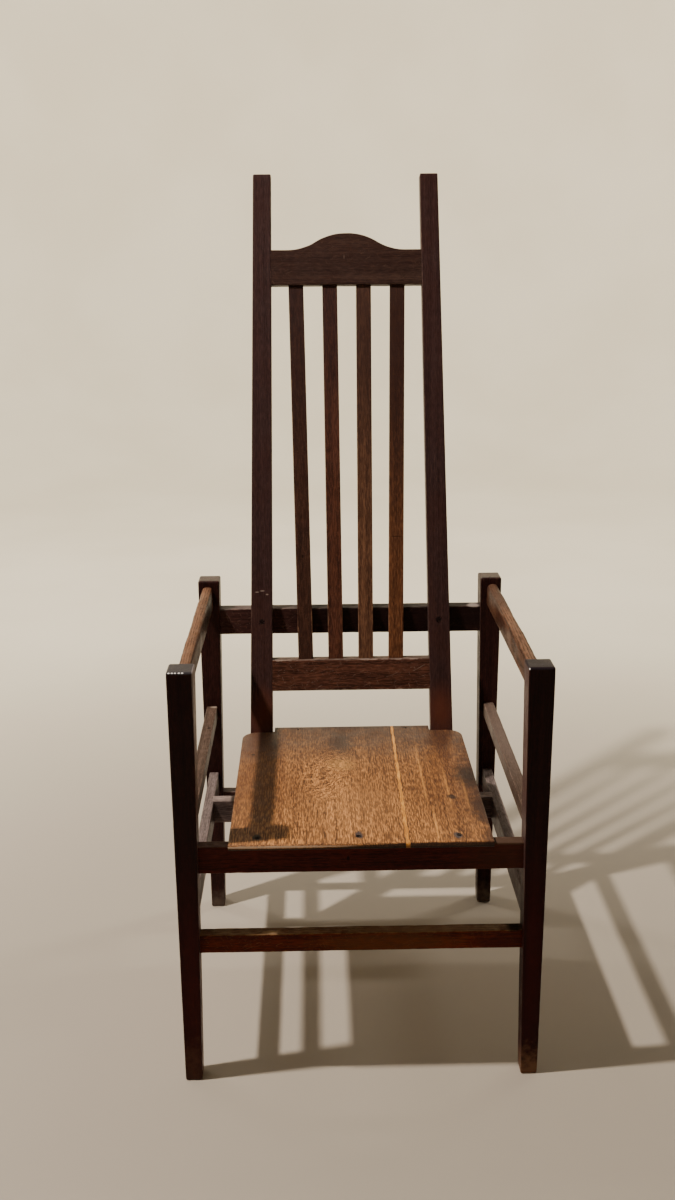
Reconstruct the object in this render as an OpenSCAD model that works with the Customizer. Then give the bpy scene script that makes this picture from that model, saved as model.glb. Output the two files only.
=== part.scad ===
// Arts and crafts armchair.
// Four square legs taper on their inner faces. Straight rails join them, each with a
// tenon at both ends. A separate slatted back leans on the upper rear rail and stands
// behind the low cross rail. A plain board seat lies on the front rail and on a rail
// between the back's stiles.
// X runs across the chair, Y runs back and Z up. Left and right are as seen from the
// front. The origin is on the floor, under the middle of the chair's box.

/* [Frame] */
// Width over the legs
chair_w = 574; // [530:1:610]
// From the front legs' front face to the rear legs' back face
frame_d = 566.5; // [530:0.5:590]

/* [Legs] */
// How far the front legs stand above the arm rails
front_leg_proud = 20; // [14:1:30]
// How far the rear legs stand above the arm rails
rear_leg_proud = 12; // [8:1:24]
// Width of a leg's top, across the chair
leg_w = 40; // [33:0.5:44]
// Depth of a leg's top, front to back
leg_d = 41.5; // [34:0.5:46]
// Width that a leg loses on its inner side from top to floor
leg_taper_w = 13; // [4:0.5:14]
// Depth that a leg loses on its inner side from top to floor
leg_taper_d = 11; // [4:0.5:13]
// Chamfer round a leg's top and foot
leg_ease = 2.5; // [0.5:0.25:3.5]

/* [Arm rails] */
// Top of the arm rails above the floor
arm_top = 686; // [676:1:692]
// Height of an arm rail
arm_h = 40; // [34:1:42]
// Width of an arm rail
arm_w = 20; // [16:0.5:24]
// Radius of an arm rail's two top edges
arm_round = 7; // [2:0.5:8]

/* [Side rails] */
// How far all side rails lie inside the legs' outer faces
side_inset = 7; // [4:0.5:10]
// Top of the side rails at seat level
seat_side_top = 444; // [440:1:470]
// Height of the side rails at seat level
seat_side_h = 26; // [22:1:30]
// Width of the side rails at seat level
seat_side_w = 20; // [16:0.5:24]
// Top of the side stretchers
side_stretcher_top = 303; // [302:1:320]
// Height of the side stretchers
side_stretcher_h = 44; // [38:1:46]
// Width of the side stretchers
side_stretcher_w = 18; // [15:0.5:22]

/* [Front rails] */
// Top of the front seat rail
front_rail_top = 414; // [404:1:416]
// Height of the front seat rail
front_rail_h = 45; // [34:1:50]
// Top of the front stretcher
front_stretcher_top = 260; // [240:1:262]
// Height of the front stretcher
front_stretcher_h = 32; // [22:1:36]
// Thickness of both front rails
front_rail_t = 21; // [18:0.5:24]
// How far both front rails lie behind the legs' front faces
front_rail_inset = 13; // [8:0.5:15]

/* [Rear rails] */
// Top of the upper rear rail
upper_rear_top = 641; // [630:1:646]
// Height of the upper rear rail
upper_rear_h = 50; // [38:1:56]
// Thickness of the upper rear rail
upper_rear_t = 27; // [20:0.5:30]
// How far the upper rear rail lies inside the legs' back faces
upper_rear_inset = 9.5; // [5:0.5:12]
// Top of the rear stretcher
rear_stretcher_top = 256; // [240:1:258]
// Height of the rear stretcher
rear_stretcher_h = 28; // [22:1:36]
// Thickness of the rear stretcher
rear_stretcher_t = 22; // [18:0.5:24]
// How far the rear stretcher lies inside the legs' back faces
rear_stretcher_inset = 5; // [3:0.5:7]
// Height of the cross rail between the side stretchers
cross_rail_h = 44; // [36:1:50]
// Thickness of the cross rail
cross_rail_t = 24; // [20:0.5:28]

/* [Back] */
// Angle that the back leans from upright, in degrees
back_lean = 14.2; // [11:0.1:17]
// Top of the stiles above the floor, at their front face
back_top = 1432; // [1370:1:1480]
// Thickness of the stiles
stile_t = 22; // [20:0.5:26]
// Width of a stile at the top
stile_top_w = 33.5; // [28:0.5:38]
// Width of a stile at the seat's top
stile_seat_w = 42; // [34:0.5:46]
// Width over both stiles at the top
back_top_w = 345; // [320:1:360]
// Width over both stiles at the seat's top
back_seat_w = 384; // [366:1:396]
// How far the upper rear rail's top is let into the stiles' backs
stile_housing = 6; // [4:0.5:8]
// How far the cross rail is let into the stiles' fronts, at its middle
foot_housing = 3.5; // [2:0.5:5]
// How far the stiles' feet end above the cross rail's underside
foot_rise = 3; // [1:0.5:6]

/* [Crest and slats] */
// How far the crest rail's ends lie below the stiles' tops
crest_drop = 136; // [119:1:179]
// Height of the crest rail at its ends
crest_h = 63; // [50:1:70]
// Rise of the crest's arch above its ends
arch_h = 30.5; // [18:0.5:36]
// Width of the arch at its base
arch_w = 222; // [180:1:236]
// Width of the flat on top of the arch
arch_flat = 6; // [0:1:40]
// Top of the lower back rail above the floor, planed level
lower_back_top = 551; // [530:1:570]
// Height of the lower back rail
lower_back_h = 57; // [45:1:65]
// Thickness of the crest and the lower back rail
back_rail_t = 18; // [15:0.5:19]
// How far the crest and the lower back rail lie behind the stiles' front faces
back_rail_set = 0.5; // [0:0.5:3]
// Width of a slat
slat_w = 28; // [18:0.5:32]
// Thickness of a slat
slat_t = 8; // [6:0.5:10]
// Distance between the slats' middles at the crest
slat_pitch_top = 63.5; // [54:0.5:68]
// Distance between the slats' middles at the lower back rail
slat_pitch_low = 57; // [50:0.5:66]

/* [Seat] */
// Gap between the seat and the seat side rail on each side
seat_gap = 55; // [43:1:60]
// Thickness of the seat boards
seat_t = 10; // [9:0.5:16]
// How far the seat reaches past the front seat rail
seat_overhang = 13; // [10:0.5:24]
// How far the seat's tongue reaches behind the stiles' front faces
tongue_reach = 8; // [5:0.5:12]
// Gap between the tongue and each stile
tongue_gap = 4; // [2:0.5:6]
// Gap between the seat's notches and the stiles' front faces
notch_gap = 16; // [8:0.5:22]
// Radius of the seat's rear outer corners
seat_corner = 25; // [15:1:36]
// Radius of the seat's front top edge
nose_round = 3.5; // [2.5:0.5:5]
// Radius of the seat's front lower edge
nose_low_round = 2; // [1:0.5:3]
// Place of the pale slip at the seat's front edge, from the middle
slip_front_x = 71.5; // [50:0.5:100]
// Place of the pale slip at the tongue's rear edge, from the middle
slip_rear_x = 76; // [50:0.5:94]
// Width of the slip at the front
slip_front_w = 6.5; // [4:0.5:12]
// Width of the slip at the rear
slip_rear_w = 5; // [3:0.5:8]
// Thickness of the rail that carries the seat's rear, front to back
support_t = 26; // [24:0.5:32]
// Height of that rail
support_h = 24; // [20:1:30]
// How far that rail stands in front of the stiles' front faces
support_proud = 11; // [9:0.5:13]

/* [Joints] */
// Thickness of the tenons
tenon_t = 8; // [6:0.5:10]
// Length of the legs' tenons
tenon_l = 18; // [14:0.5:20]
// How far a tenon lies behind its rail's show face
tenon_set = 3; // [2:0.5:5]
// Shoulder above and below a tenon
tenon_shoulder = 5; // [4:0.5:7]
// Length of the tenons in the stiles
back_tenon_l = 18; // [12:0.5:22]
// Length of the tenons in the side stretchers
cross_tenon_l = 12; // [8:0.5:14]
// Length of a slat's end in its rail
slat_tenon_l = 12; // [8:0.5:16]
// Clearance round a tenon, a screw or a nail
fit_gap = 0.2; // [0.1:0.05:0.3]

/* [Fasteners] */
// Diameter of a screw's head
screw_head_d = 8.5; // [7:0.5:10]
// Height of a screw's head
screw_head_h = 2.6; // [2:0.1:3.4]
// Diameter of a screw's shank
screw_d = 4.2; // [3.5:0.1:5]
// Length of the seat screws
seat_screw_l = 32; // [26:1:38]
// Length of the screws through the stiles into the upper rear rail
stile_screw_l = 40; // [34:1:42]
// Length of the screws through the stiles' feet into the cross rail
foot_screw_l = 36; // [30:1:38]
// Width of a screw's slot
slot_w = 1.2; // [0.8:0.1:1.6]
// Depth of a screw's slot
slot_depth = 1.1; // [0.6:0.1:1.4]
// Distance of the outer seat screws from the seat's sides
seat_screw_inset = 48; // [25:1:60]
// How far all three seat screws lie to the left of the seat's middle
seat_screw_shift = 4; // [0:0.5:8]
// How far the stile screws lie below the upper rear rail's top
stile_screw_drop = 19; // [14:1:26]
// Diameter of a nail's head
nail_head_d = 5; // [4:0.25:6]
// Thickness of a nail's head
nail_head_h = 1; // [0.6:0.1:1.4]
// Diameter of a nail
nail_d = 2.2; // [1.8:0.1:2.8]
// Length of a nail
nail_l = 30; // [24:1:33]
// Distance of the nails from the middle
nail_x = 102; // [80:1:125]

/* [Hidden] */
$fn = 64;

// Number of slats, each a node of its own
slat_count = 4;
// Overrun of every cut
over = 5;

FRAME_COLOR = "#4b342f";
ARM_COLOR = "#6f5646";
SLAT_COLOR = "#6e4834";
SEAT_COLOR = "#a67e55";
SLIP_COLOR = "#d9b57e";
SCREW_COLOR = "#55514c";
NAIL_COLOR = "#b0aca4";

half_w = chair_w / 2;
front_leg_h = arm_top + front_leg_proud;
rear_leg_h = arm_top + rear_leg_proud;

// Inner face of a right leg of height h, at height z
function leg_in(z, h) = half_w - leg_w + leg_taper_w * (1 - z / h);
// Back face of a front leg and front face of a rear leg, at height z
function front_leg_back(z) = leg_d - leg_taper_d * (1 - z / front_leg_h);
function rear_leg_front(z) = frame_d - leg_d + leg_taper_d * (1 - z / rear_leg_h);

// The side rails' right-hand outer faces
side_out = half_w - side_inset;
side_stretcher_low = side_stretcher_top - side_stretcher_h;

upper_rear_low = upper_rear_top - upper_rear_h;
upper_rear_y = frame_d - upper_rear_inset - upper_rear_t;
rear_stretcher_y = frame_d - rear_stretcher_inset - rear_stretcher_t;

// The stiles' front face at height z, and the length along the lean at height z
function stile_front(z) = upper_rear_y + stile_housing - stile_t / cos(back_lean)
    + (z - upper_rear_top) * tan(back_lean);
function up(z) = z / cos(back_lean);

// The cross rail is flush with the side stretchers' tops
cross_rail_top = side_stretcher_top;
cross_rail_low = cross_rail_top - cross_rail_h;
cross_rail_mid = (cross_rail_top + cross_rail_low) / 2;
cross_rail_back = stile_front(cross_rail_mid) + foot_housing;
cross_rail_y = cross_rail_back - cross_rail_t;
cross_rail_end = side_out - side_stretcher_w;
foot_z = cross_rail_low + foot_rise;

// The seat lies on the front seat rail, between the side rails
seat_w = 2 * (side_out - seat_side_w - seat_gap);
seat_low = front_rail_top;
seat_top = seat_low + seat_t;
seat_front = front_rail_inset - seat_overhang;
tongue_rear = stile_front(seat_top) + tongue_reach;
notch_y = stile_front(seat_top) - notch_gap;

// A stile's outer and inner edges at height z
function at_height(seat_value, top_value, z) =
    seat_value + (top_value - seat_value) * (z - seat_top) / (back_top - seat_top);
function stile_out(z) = at_height(back_seat_w / 2, back_top_w / 2, z);
function stile_in(z) = stile_out(z) - at_height(stile_seat_w, stile_top_w, z);
tongue_w = 2 * (stile_in(seat_top) - tongue_gap);

// The rail under the seat's tongue
support_y = stile_front(seat_low) - support_proud;
support_low = seat_low - support_h;
support_mid = (seat_low + support_low) / 2;
support_tenon_y = stile_front(support_mid) + (stile_t / cos(back_lean) - tenon_t) / 2;

crest_top = back_top - crest_drop;
crest_bottom = crest_top - crest_h;
lower_back_low = lower_back_top - lower_back_h;
slat_set = back_rail_set + (back_rail_t - slat_t) / 2;

// Radius of the two arcs on each side of the arch
arch_run = (arch_w - arch_flat) / 2;
arch_r = (arch_run * arch_run + arch_h * arch_h) / (4 * arch_h);

// Places of the fasteners
seat_screw_x = seat_w / 2 - seat_screw_inset;
seat_screw_y = front_rail_inset + front_rail_t / 2;
nail_y = (support_y + tongue_rear) / 2;
stile_screw_z = upper_rear_top - stile_screw_drop;
foot_screw_z = cross_rail_mid;

// The whole chair is moved so that the middle of its box is over the origin
box_front = min(0, seat_front);
box_back = max(frame_d, stile_front(back_top) + stile_t * cos(back_lean));
y_shift = -(box_front + box_back) / 2;

module placed() {
    translate([0, y_shift, 0]) children();
}

// Right-hand pieces are drawn as they are, and left-hand ones are mirrored
module on_side(side) {
    if (side < 0) {
        mirror([1, 0, 0]) children();
    } else {
        children();
    }
}

// An outline in X and Z made a board from y to y + t
module front_board(y, t) {
    translate([0, y + t, 0]) rotate([90, 0, 0]) linear_extrude(t) children();
}

// An outline in Y and Z made a board from x to x + w
module side_board(x, w) {
    translate([x, 0, 0]) rotate([90, 0, 90]) linear_extrude(w) children();
}

// Anything in the back's own upright frame leaned into its place
module leaned() {
    translate([0, stile_front(0), 0]) rotate([-back_lean, 0, 0]) children();
}

// Outline of a post between two sloping edges, with all four corners chamfered
function post_outline(low_a, top_a, low_b, top_b, h, ease) =
    let (step_a = (top_a - low_a) * ease / h, step_b = (top_b - low_b) * ease / h)
    [
        [low_a + ease, 0], [low_b - ease, 0], [low_b + step_b, ease],
        [top_b - step_b, h - ease], [top_b - ease, h], [top_a + ease, h],
        [top_a - step_a, h - ease], [low_a + step_a, ease]
    ];

// A tenon bar across the chair: both ends of a rail between legs of height h
module leg_tenon(y, low, top, h, grow) {
    reach = leg_in((low + top) / 2, h) + tenon_l + grow;
    translate([-reach, y + tenon_set - grow, low + tenon_shoulder - grow])
        cube([2 * reach, tenon_t + 2 * grow, top - low - 2 * (tenon_shoulder - grow)]);
}

// A tenon bar along the chair: both ends of a right side rail of the given width
module side_tenon(low, top, grow) {
    middle = (low + top) / 2;
    start = front_leg_back(middle) - tenon_l - grow;
    end = rear_leg_front(middle) + tenon_l + grow;
    translate([side_out - tenon_set - tenon_t - grow, start, low + tenon_shoulder - grow])
        cube([tenon_t + 2 * grow, end - start, top - low - 2 * (tenon_shoulder - grow)]);
}

// The tenon bar of the cross rail, into both side stretchers
module cross_tenon(grow) {
    reach = cross_rail_end + cross_tenon_l + grow;
    shoulder = 2 * tenon_shoulder - grow;
    translate([-reach, cross_rail_y + (cross_rail_t - tenon_t) / 2 - grow, cross_rail_low + shoulder])
        cube([2 * reach, tenon_t + 2 * grow, cross_rail_h - 2 * shoulder]);
}

// The tenon bar of the rail under the seat's tongue, into both stiles
module support_tenon(grow) {
    reach = stile_in(support_mid) + back_tenon_l + grow;
    translate([-reach, support_tenon_y - grow, support_low + tenon_shoulder - grow])
        cube([2 * reach, tenon_t + 2 * grow, support_h - 2 * (tenon_shoulder - grow)]);
}

// A tenon bar in the leaned back, into both stiles
module back_tenon(low, top, grow) {
    reach = stile_in((low + top) / 2) + back_tenon_l + grow;
    translate([-reach, slat_set - grow, up(low) + tenon_shoulder - grow])
        cube([2 * reach, slat_t + 2 * grow, up(top) - up(low) - 2 * (tenon_shoulder - grow)]);
}

// A slotted wood screw along +Z, with its head's face at the origin's plane
module wood_screw(length) {
    difference() {
        union() {
            translate([0, 0, -screw_head_h])
                cylinder(d1 = screw_d, d2 = screw_head_d, h = screw_head_h);
            translate([0, 0, screw_head_d / 2 - length])
                cylinder(d = screw_d, h = length - screw_head_d / 2 - screw_head_h / 2);
            translate([0, 0, -length])
                cylinder(d1 = screw_d / 4, d2 = screw_d, h = screw_head_d / 2);
        }
        translate([-slot_w / 2, -screw_head_d, -slot_depth])
            cube([slot_w, 2 * screw_head_d, slot_depth + over]);
    }
}

// The hole for that screw, with a countersink for its head
module screw_hole(length) {
    translate([0, 0, -length - fit_gap])
        cylinder(d = screw_d + 2 * fit_gap, h = length + over);
    translate([0, 0, -screw_head_h])
        cylinder(d1 = screw_d + 2 * fit_gap, d2 = screw_head_d + 2 * fit_gap, h = screw_head_h);
    cylinder(d = screw_head_d + 2 * fit_gap, h = over);
}

// A round-headed nail, its head's face at the origin's plane, grown for its hole
module nail(grow) {
    translate([0, 0, -nail_head_h - grow])
        cylinder(d = nail_head_d + 2 * grow, h = nail_head_h + grow + (grow > 0 ? over : 0));
    translate([0, 0, -nail_l - grow])
        cylinder(d = nail_d + 2 * grow, h = nail_l);
}

module at_seat_screws() {
    for (x = [-seat_screw_x, 0, seat_screw_x]) {
        translate([x - seat_screw_shift, seat_screw_y, seat_top]) rotate([0, 0, 90]) children();
    }
}

module at_nails() {
    for (x = [-nail_x, nail_x]) {
        translate([x, nail_y, seat_top]) children();
    }
}

// Heads on the stiles' front faces, square to the lean
module at_stile_screws() {
    x = (stile_in(stile_screw_z) + stile_out(stile_screw_z)) / 2;
    leaned() {
        for (side = [-1, 1]) {
            translate([side * x, 0, up(stile_screw_z)]) rotate([90, 0, 0]) children();
        }
    }
}

// Heads on the stiles' back faces, square to the lean
module at_foot_screws() {
    x = (stile_in(foot_screw_z) + stile_out(foot_screw_z)) / 2;
    leaned() {
        for (side = [-1, 1]) {
            translate([side * x, stile_t, up(foot_screw_z)]) rotate([-90, 0, 0]) children();
        }
    }
}

// A right leg before its mortises; front says which end of the chair it stands at
module leg_blank(h, front) {
    intersection() {
        front_board(-over, frame_d + 2 * over)
            polygon(post_outline(leg_in(0, h), leg_in(h, h), half_w, half_w, h, leg_ease));
        side_board(half_w - leg_w - over, leg_w + 2 * over)
            polygon(front
                ? post_outline(0, 0, front_leg_back(0), leg_d, h, leg_ease)
                : post_outline(rear_leg_front(0), frame_d - leg_d, frame_d, frame_d, h, leg_ease));
    }
}

module side_mortises() {
    side_tenon(arm_top - arm_h, arm_top, fit_gap);
    side_tenon(seat_side_top - seat_side_h, seat_side_top, fit_gap);
    side_tenon(side_stretcher_low, side_stretcher_top, fit_gap);
}

module front_leg(side) {
    color(FRAME_COLOR) placed() on_side(side) difference() {
        leg_blank(front_leg_h, true);
        side_mortises();
        leg_tenon(front_rail_inset, front_rail_top - front_rail_h, front_rail_top, front_leg_h, fit_gap);
        leg_tenon(front_rail_inset, front_stretcher_top - front_stretcher_h, front_stretcher_top,
            front_leg_h, fit_gap);
    }
}

module rear_leg(side) {
    color(FRAME_COLOR) placed() on_side(side) difference() {
        leg_blank(rear_leg_h, false);
        side_mortises();
        leg_tenon(upper_rear_y, upper_rear_low, upper_rear_top, rear_leg_h, fit_gap);
        leg_tenon(rear_stretcher_y, rear_stretcher_top - rear_stretcher_h, rear_stretcher_top,
            rear_leg_h, fit_gap);
    }
}

// A right side rail whose shoulders follow the tapered legs
module side_rail(low, top, w) {
    side_board(side_out - w, w)
        polygon([
            [front_leg_back(low), low], [rear_leg_front(low), low],
            [rear_leg_front(top), top], [front_leg_back(top), top]
        ]);
    side_tenon(low, top, 0);
}

// An arm rail's section, in X and Z, with both top edges rounded
module arm_section() {
    low = arm_top - arm_h;
    translate([side_out - arm_w, low]) square([arm_w, arm_h - arm_round]);
    translate([side_out - arm_w + arm_round, low]) square([arm_w - 2 * arm_round, arm_h]);
    for (x = [side_out - arm_w + arm_round, side_out - arm_round]) {
        translate([x, arm_top - arm_round]) circle(arm_round);
    }
}

module arm_rail(side) {
    color(ARM_COLOR) placed() on_side(side) intersection() {
        side_rail(arm_top - arm_h, arm_top, arm_w);
        front_board(0, frame_d) arm_section();
    }
}

module seat_side_rail(side) {
    color(ARM_COLOR) placed() on_side(side)
        side_rail(seat_side_top - seat_side_h, seat_side_top, seat_side_w);
}

module side_stretcher(side) {
    color(FRAME_COLOR) placed() on_side(side) difference() {
        side_rail(side_stretcher_low, side_stretcher_top, side_stretcher_w);
        cross_tenon(fit_gap);
    }
}

// A rail across the chair between two legs of height h
module leg_rail(y, t, low, top, h) {
    front_board(y, t)
        polygon([
            [-leg_in(low, h), low], [leg_in(low, h), low],
            [leg_in(top, h), top], [-leg_in(top, h), top]
        ]);
    leg_tenon(y, low, top, h, 0);
}

module front_seat_rail() {
    color(FRAME_COLOR) placed() difference() {
        leg_rail(front_rail_inset, front_rail_t, front_rail_top - front_rail_h, front_rail_top,
            front_leg_h);
        at_seat_screws() screw_hole(seat_screw_l);
    }
}

module front_stretcher() {
    color(FRAME_COLOR) placed()
        leg_rail(front_rail_inset, front_rail_t, front_stretcher_top - front_stretcher_h,
            front_stretcher_top, front_leg_h);
}

module upper_rear_rail() {
    color(FRAME_COLOR) placed() difference() {
        leg_rail(upper_rear_y, upper_rear_t, upper_rear_low, upper_rear_top, rear_leg_h);
        at_stile_screws() screw_hole(stile_screw_l);
    }
}

module rear_stretcher() {
    color(FRAME_COLOR) placed()
        leg_rail(rear_stretcher_y, rear_stretcher_t, rear_stretcher_top - rear_stretcher_h,
            rear_stretcher_top, rear_leg_h);
}

module cross_rail() {
    color(FRAME_COLOR) placed() difference() {
        union() {
            translate([-cross_rail_end, cross_rail_y, cross_rail_low])
                cube([2 * cross_rail_end, cross_rail_t, cross_rail_h]);
            cross_tenon(0);
        }
        at_foot_screws() screw_hole(foot_screw_l);
    }
}

// Outline of a right stile in the back's own frame, long enough to cut its foot level
module stile_outline() {
    low = foot_z - stile_t;
    polygon([
        [stile_in(low), up(low)], [stile_out(low), up(low)],
        [stile_out(back_top), up(back_top) - leg_ease], [stile_out(back_top) - leg_ease, up(back_top)],
        [stile_in(back_top) + leg_ease, up(back_top)], [stile_in(back_top), up(back_top) - leg_ease]
    ]);
}

module stile(side) {
    color(FRAME_COLOR) placed() on_side(side) difference() {
        leaned() difference() {
            front_board(0, stile_t) stile_outline();
            back_tenon(crest_bottom, crest_top, fit_gap);
            back_tenon(lower_back_low, lower_back_top, fit_gap);
        }
        // The level end of the foot
        translate([0, cross_rail_y - frame_d / 2, foot_z - 2 * stile_t])
            cube([half_w, frame_d, 2 * stile_t]);
        // The flat against the cross rail
        translate([0, cross_rail_y, cross_rail_low - over])
            cube([half_w, cross_rail_t, cross_rail_h + over]);
        // The housing for the upper rear rail
        translate([0, upper_rear_y, upper_rear_low])
            cube([half_w, upper_rear_t, upper_rear_h]);
        support_tenon(fit_gap);
        at_stile_screws() screw_hole(stile_screw_l);
        at_foot_screws() screw_hole(foot_screw_l);
    }
}

// Outline of the space between the stiles from low to top, in the back's own frame
module between_stiles(low, top) {
    polygon([
        [-stile_in(low), up(low)], [stile_in(low), up(low)],
        [stile_in(top), up(top)], [-stile_in(top), up(top)]
    ]);
}

// The crest's arch: a flat between two curves that turn from hollow to round
module arch_outline() {
    base = up(crest_top);
    translate([-arch_flat / 2, base]) square([arch_flat, arch_h]);
    for (side = [0, 1]) {
        mirror([side, 0]) {
            intersection() {
                translate([arch_flat / 2, base + arch_h - arch_r]) circle(arch_r, $fn = 128);
                translate([arch_flat / 2, base]) square([arch_run / 2, arch_h]);
            }
            difference() {
                translate([arch_flat / 2 + arch_run / 2, base]) square([arch_run / 2, arch_h / 2]);
                translate([arch_w / 2, base + arch_r]) circle(arch_r, $fn = 128);
            }
        }
    }
}

// Middle of slat i at height z, as a distance from the chair's middle
function slat_x(i, z) = (i - (slat_count + 1) / 2)
    * (slat_pitch_low + (slat_pitch_top - slat_pitch_low)
        * (z - lower_back_top) / (crest_bottom - lower_back_top));

// Slat i in the back's own frame, its ends in both rails, grown for its mortises
module slat_blank(i, grow) {
    low = lower_back_top - (slat_tenon_l + grow) * cos(back_lean);
    top = crest_bottom + (slat_tenon_l + grow) * cos(back_lean);
    half = slat_w / 2 + grow;
    front_board(slat_set - grow, slat_t + 2 * grow)
        polygon([
            [slat_x(i, low) - half, up(low)], [slat_x(i, low) + half, up(low)],
            [slat_x(i, top) + half, up(top)], [slat_x(i, top) - half, up(top)]
        ]);
}

module slat(i) {
    color(SLAT_COLOR) placed() leaned() slat_blank(i, 0);
}

module all_slats(grow) {
    for (i = [1 : slat_count]) {
        slat_blank(i, grow);
    }
}

module crest_rail() {
    color(FRAME_COLOR) placed() leaned() difference() {
        union() {
            front_board(back_rail_set, back_rail_t) between_stiles(crest_bottom, crest_top);
            front_board(back_rail_set, back_rail_t) arch_outline();
            back_tenon(crest_bottom, crest_top, 0);
        }
        all_slats(fit_gap);
    }
}

module lower_back_rail() {
    color(SLAT_COLOR) placed() difference() {
        leaned() difference() {
            union() {
                front_board(back_rail_set, back_rail_t)
                    between_stiles(lower_back_low, lower_back_top + back_rail_t);
                back_tenon(lower_back_low, lower_back_top, 0);
            }
            all_slats(fit_gap);
        }
        // The level top
        translate([-half_w, stile_front(lower_back_top) - back_rail_t, lower_back_top])
            cube([chair_w, 4 * back_rail_t, 2 * back_rail_t]);
    }
}

module seat_support_rail() {
    color(FRAME_COLOR) placed() difference() {
        union() {
            intersection() {
                translate([-half_w, support_y, support_low]) cube([chair_w, support_t, support_h]);
                leaned() front_board(-2 * support_t, 4 * support_t)
                    between_stiles(support_low - support_h, seat_low + support_h);
            }
            support_tenon(0);
        }
        at_nails() nail(fit_gap);
    }
}

// Outline of the whole seat: square in front, a tongue and two round corners behind
module seat_plan() {
    translate([-seat_w / 2, seat_front])
        square([seat_w, notch_y - seat_corner - seat_front]);
    translate([seat_corner - seat_w / 2, seat_front])
        square([seat_w - 2 * seat_corner, notch_y - seat_front]);
    for (x = [seat_corner - seat_w / 2, seat_w / 2 - seat_corner]) {
        translate([x, notch_y - seat_corner]) circle(seat_corner);
    }
    translate([-tongue_w / 2, seat_front]) square([tongue_w, tongue_rear - seat_front]);
}

// The seat's section in Y and Z, with a rounded front edge
module seat_section() {
    inner = seat_front + max(nose_round, nose_low_round);
    translate([inner, seat_low]) square([tongue_rear + over - inner, seat_t]);
    translate([seat_front, seat_low + nose_low_round])
        square([inner - seat_front, seat_t - nose_low_round - nose_round]);
    translate([seat_front + nose_round, seat_top - nose_round]) circle(nose_round);
    translate([seat_front + nose_low_round, seat_low + nose_low_round]) circle(nose_low_round);
    translate([seat_front + nose_low_round, seat_low])
        square([inner - seat_front - nose_low_round, seat_t - nose_round]);
}

// An edge of the slip at depth y: side is -1 for its left edge and 1 for its right one
function slip_edge(side, y) =
    let (front_x = slip_front_x + side * slip_front_w / 2, rear_x = slip_rear_x + side * slip_rear_w / 2)
    front_x + (rear_x - front_x) * (y - seat_front) / (tongue_rear - seat_front);

// The part of the seat that lies between two edges, each given at its front and rear
module seat_part(front_a, front_b, rear_a, rear_b) {
    difference() {
        intersection() {
            translate([0, 0, seat_low]) linear_extrude(seat_t) intersection() {
                seat_plan();
                polygon([
                    [front_a, seat_front - over], [front_b, seat_front - over],
                    [rear_b, tongue_rear + over], [rear_a, tongue_rear + over]
                ]);
            }
            side_board(-seat_w / 2 - over, seat_w + 2 * over) seat_section();
        }
        at_seat_screws() screw_hole(seat_screw_l);
        at_nails() nail(fit_gap);
    }
}

module seat_board_left() {
    color(SEAT_COLOR) placed()
        seat_part(-seat_w, slip_edge(-1, seat_front - over), -seat_w, slip_edge(-1, tongue_rear + over));
}

module seat_board_right() {
    color(SEAT_COLOR) placed()
        seat_part(slip_edge(1, seat_front - over), seat_w, slip_edge(1, tongue_rear + over), seat_w);
}

module seat_slip() {
    color(SLIP_COLOR) placed()
        seat_part(slip_edge(-1, seat_front - over), slip_edge(1, seat_front - over),
            slip_edge(-1, tongue_rear + over), slip_edge(1, tongue_rear + over));
}

module seat_screws() {
    color(SCREW_COLOR) placed() at_seat_screws() wood_screw(seat_screw_l);
}

module seat_nails() {
    color(NAIL_COLOR) placed() at_nails() nail(0);
}

module stile_screws() {
    color(SCREW_COLOR) placed() at_stile_screws() wood_screw(stile_screw_l);
}

module stile_foot_screws() {
    color(SCREW_COLOR) placed() at_foot_screws() wood_screw(foot_screw_l);
}

front_leg(-1);  // front_leg_left
front_leg(1);  // front_leg_right
rear_leg(-1);  // rear_leg_left
rear_leg(1);  // rear_leg_right
arm_rail(-1);  // arm_rail_left
arm_rail(1);  // arm_rail_right
seat_side_rail(-1);  // seat_side_rail_left
seat_side_rail(1);  // seat_side_rail_right
side_stretcher(-1);  // side_stretcher_left
side_stretcher(1);  // side_stretcher_right
front_seat_rail();
front_stretcher();
upper_rear_rail();
rear_stretcher();
cross_rail();
stile(-1);  // stile_left
stile(1);  // stile_right
crest_rail();
lower_back_rail();
slat(1);  // slat_1
slat(2);  // slat_2
slat(3);  // slat_3
slat(4);  // slat_4
seat_support_rail();
seat_board_left();
seat_board_right();
seat_slip();
seat_screws();
seat_nails();
stile_screws();
stile_foot_screws();
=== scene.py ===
import math

import bpy
import numpy as np
from mathutils import Matrix, Vector


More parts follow.
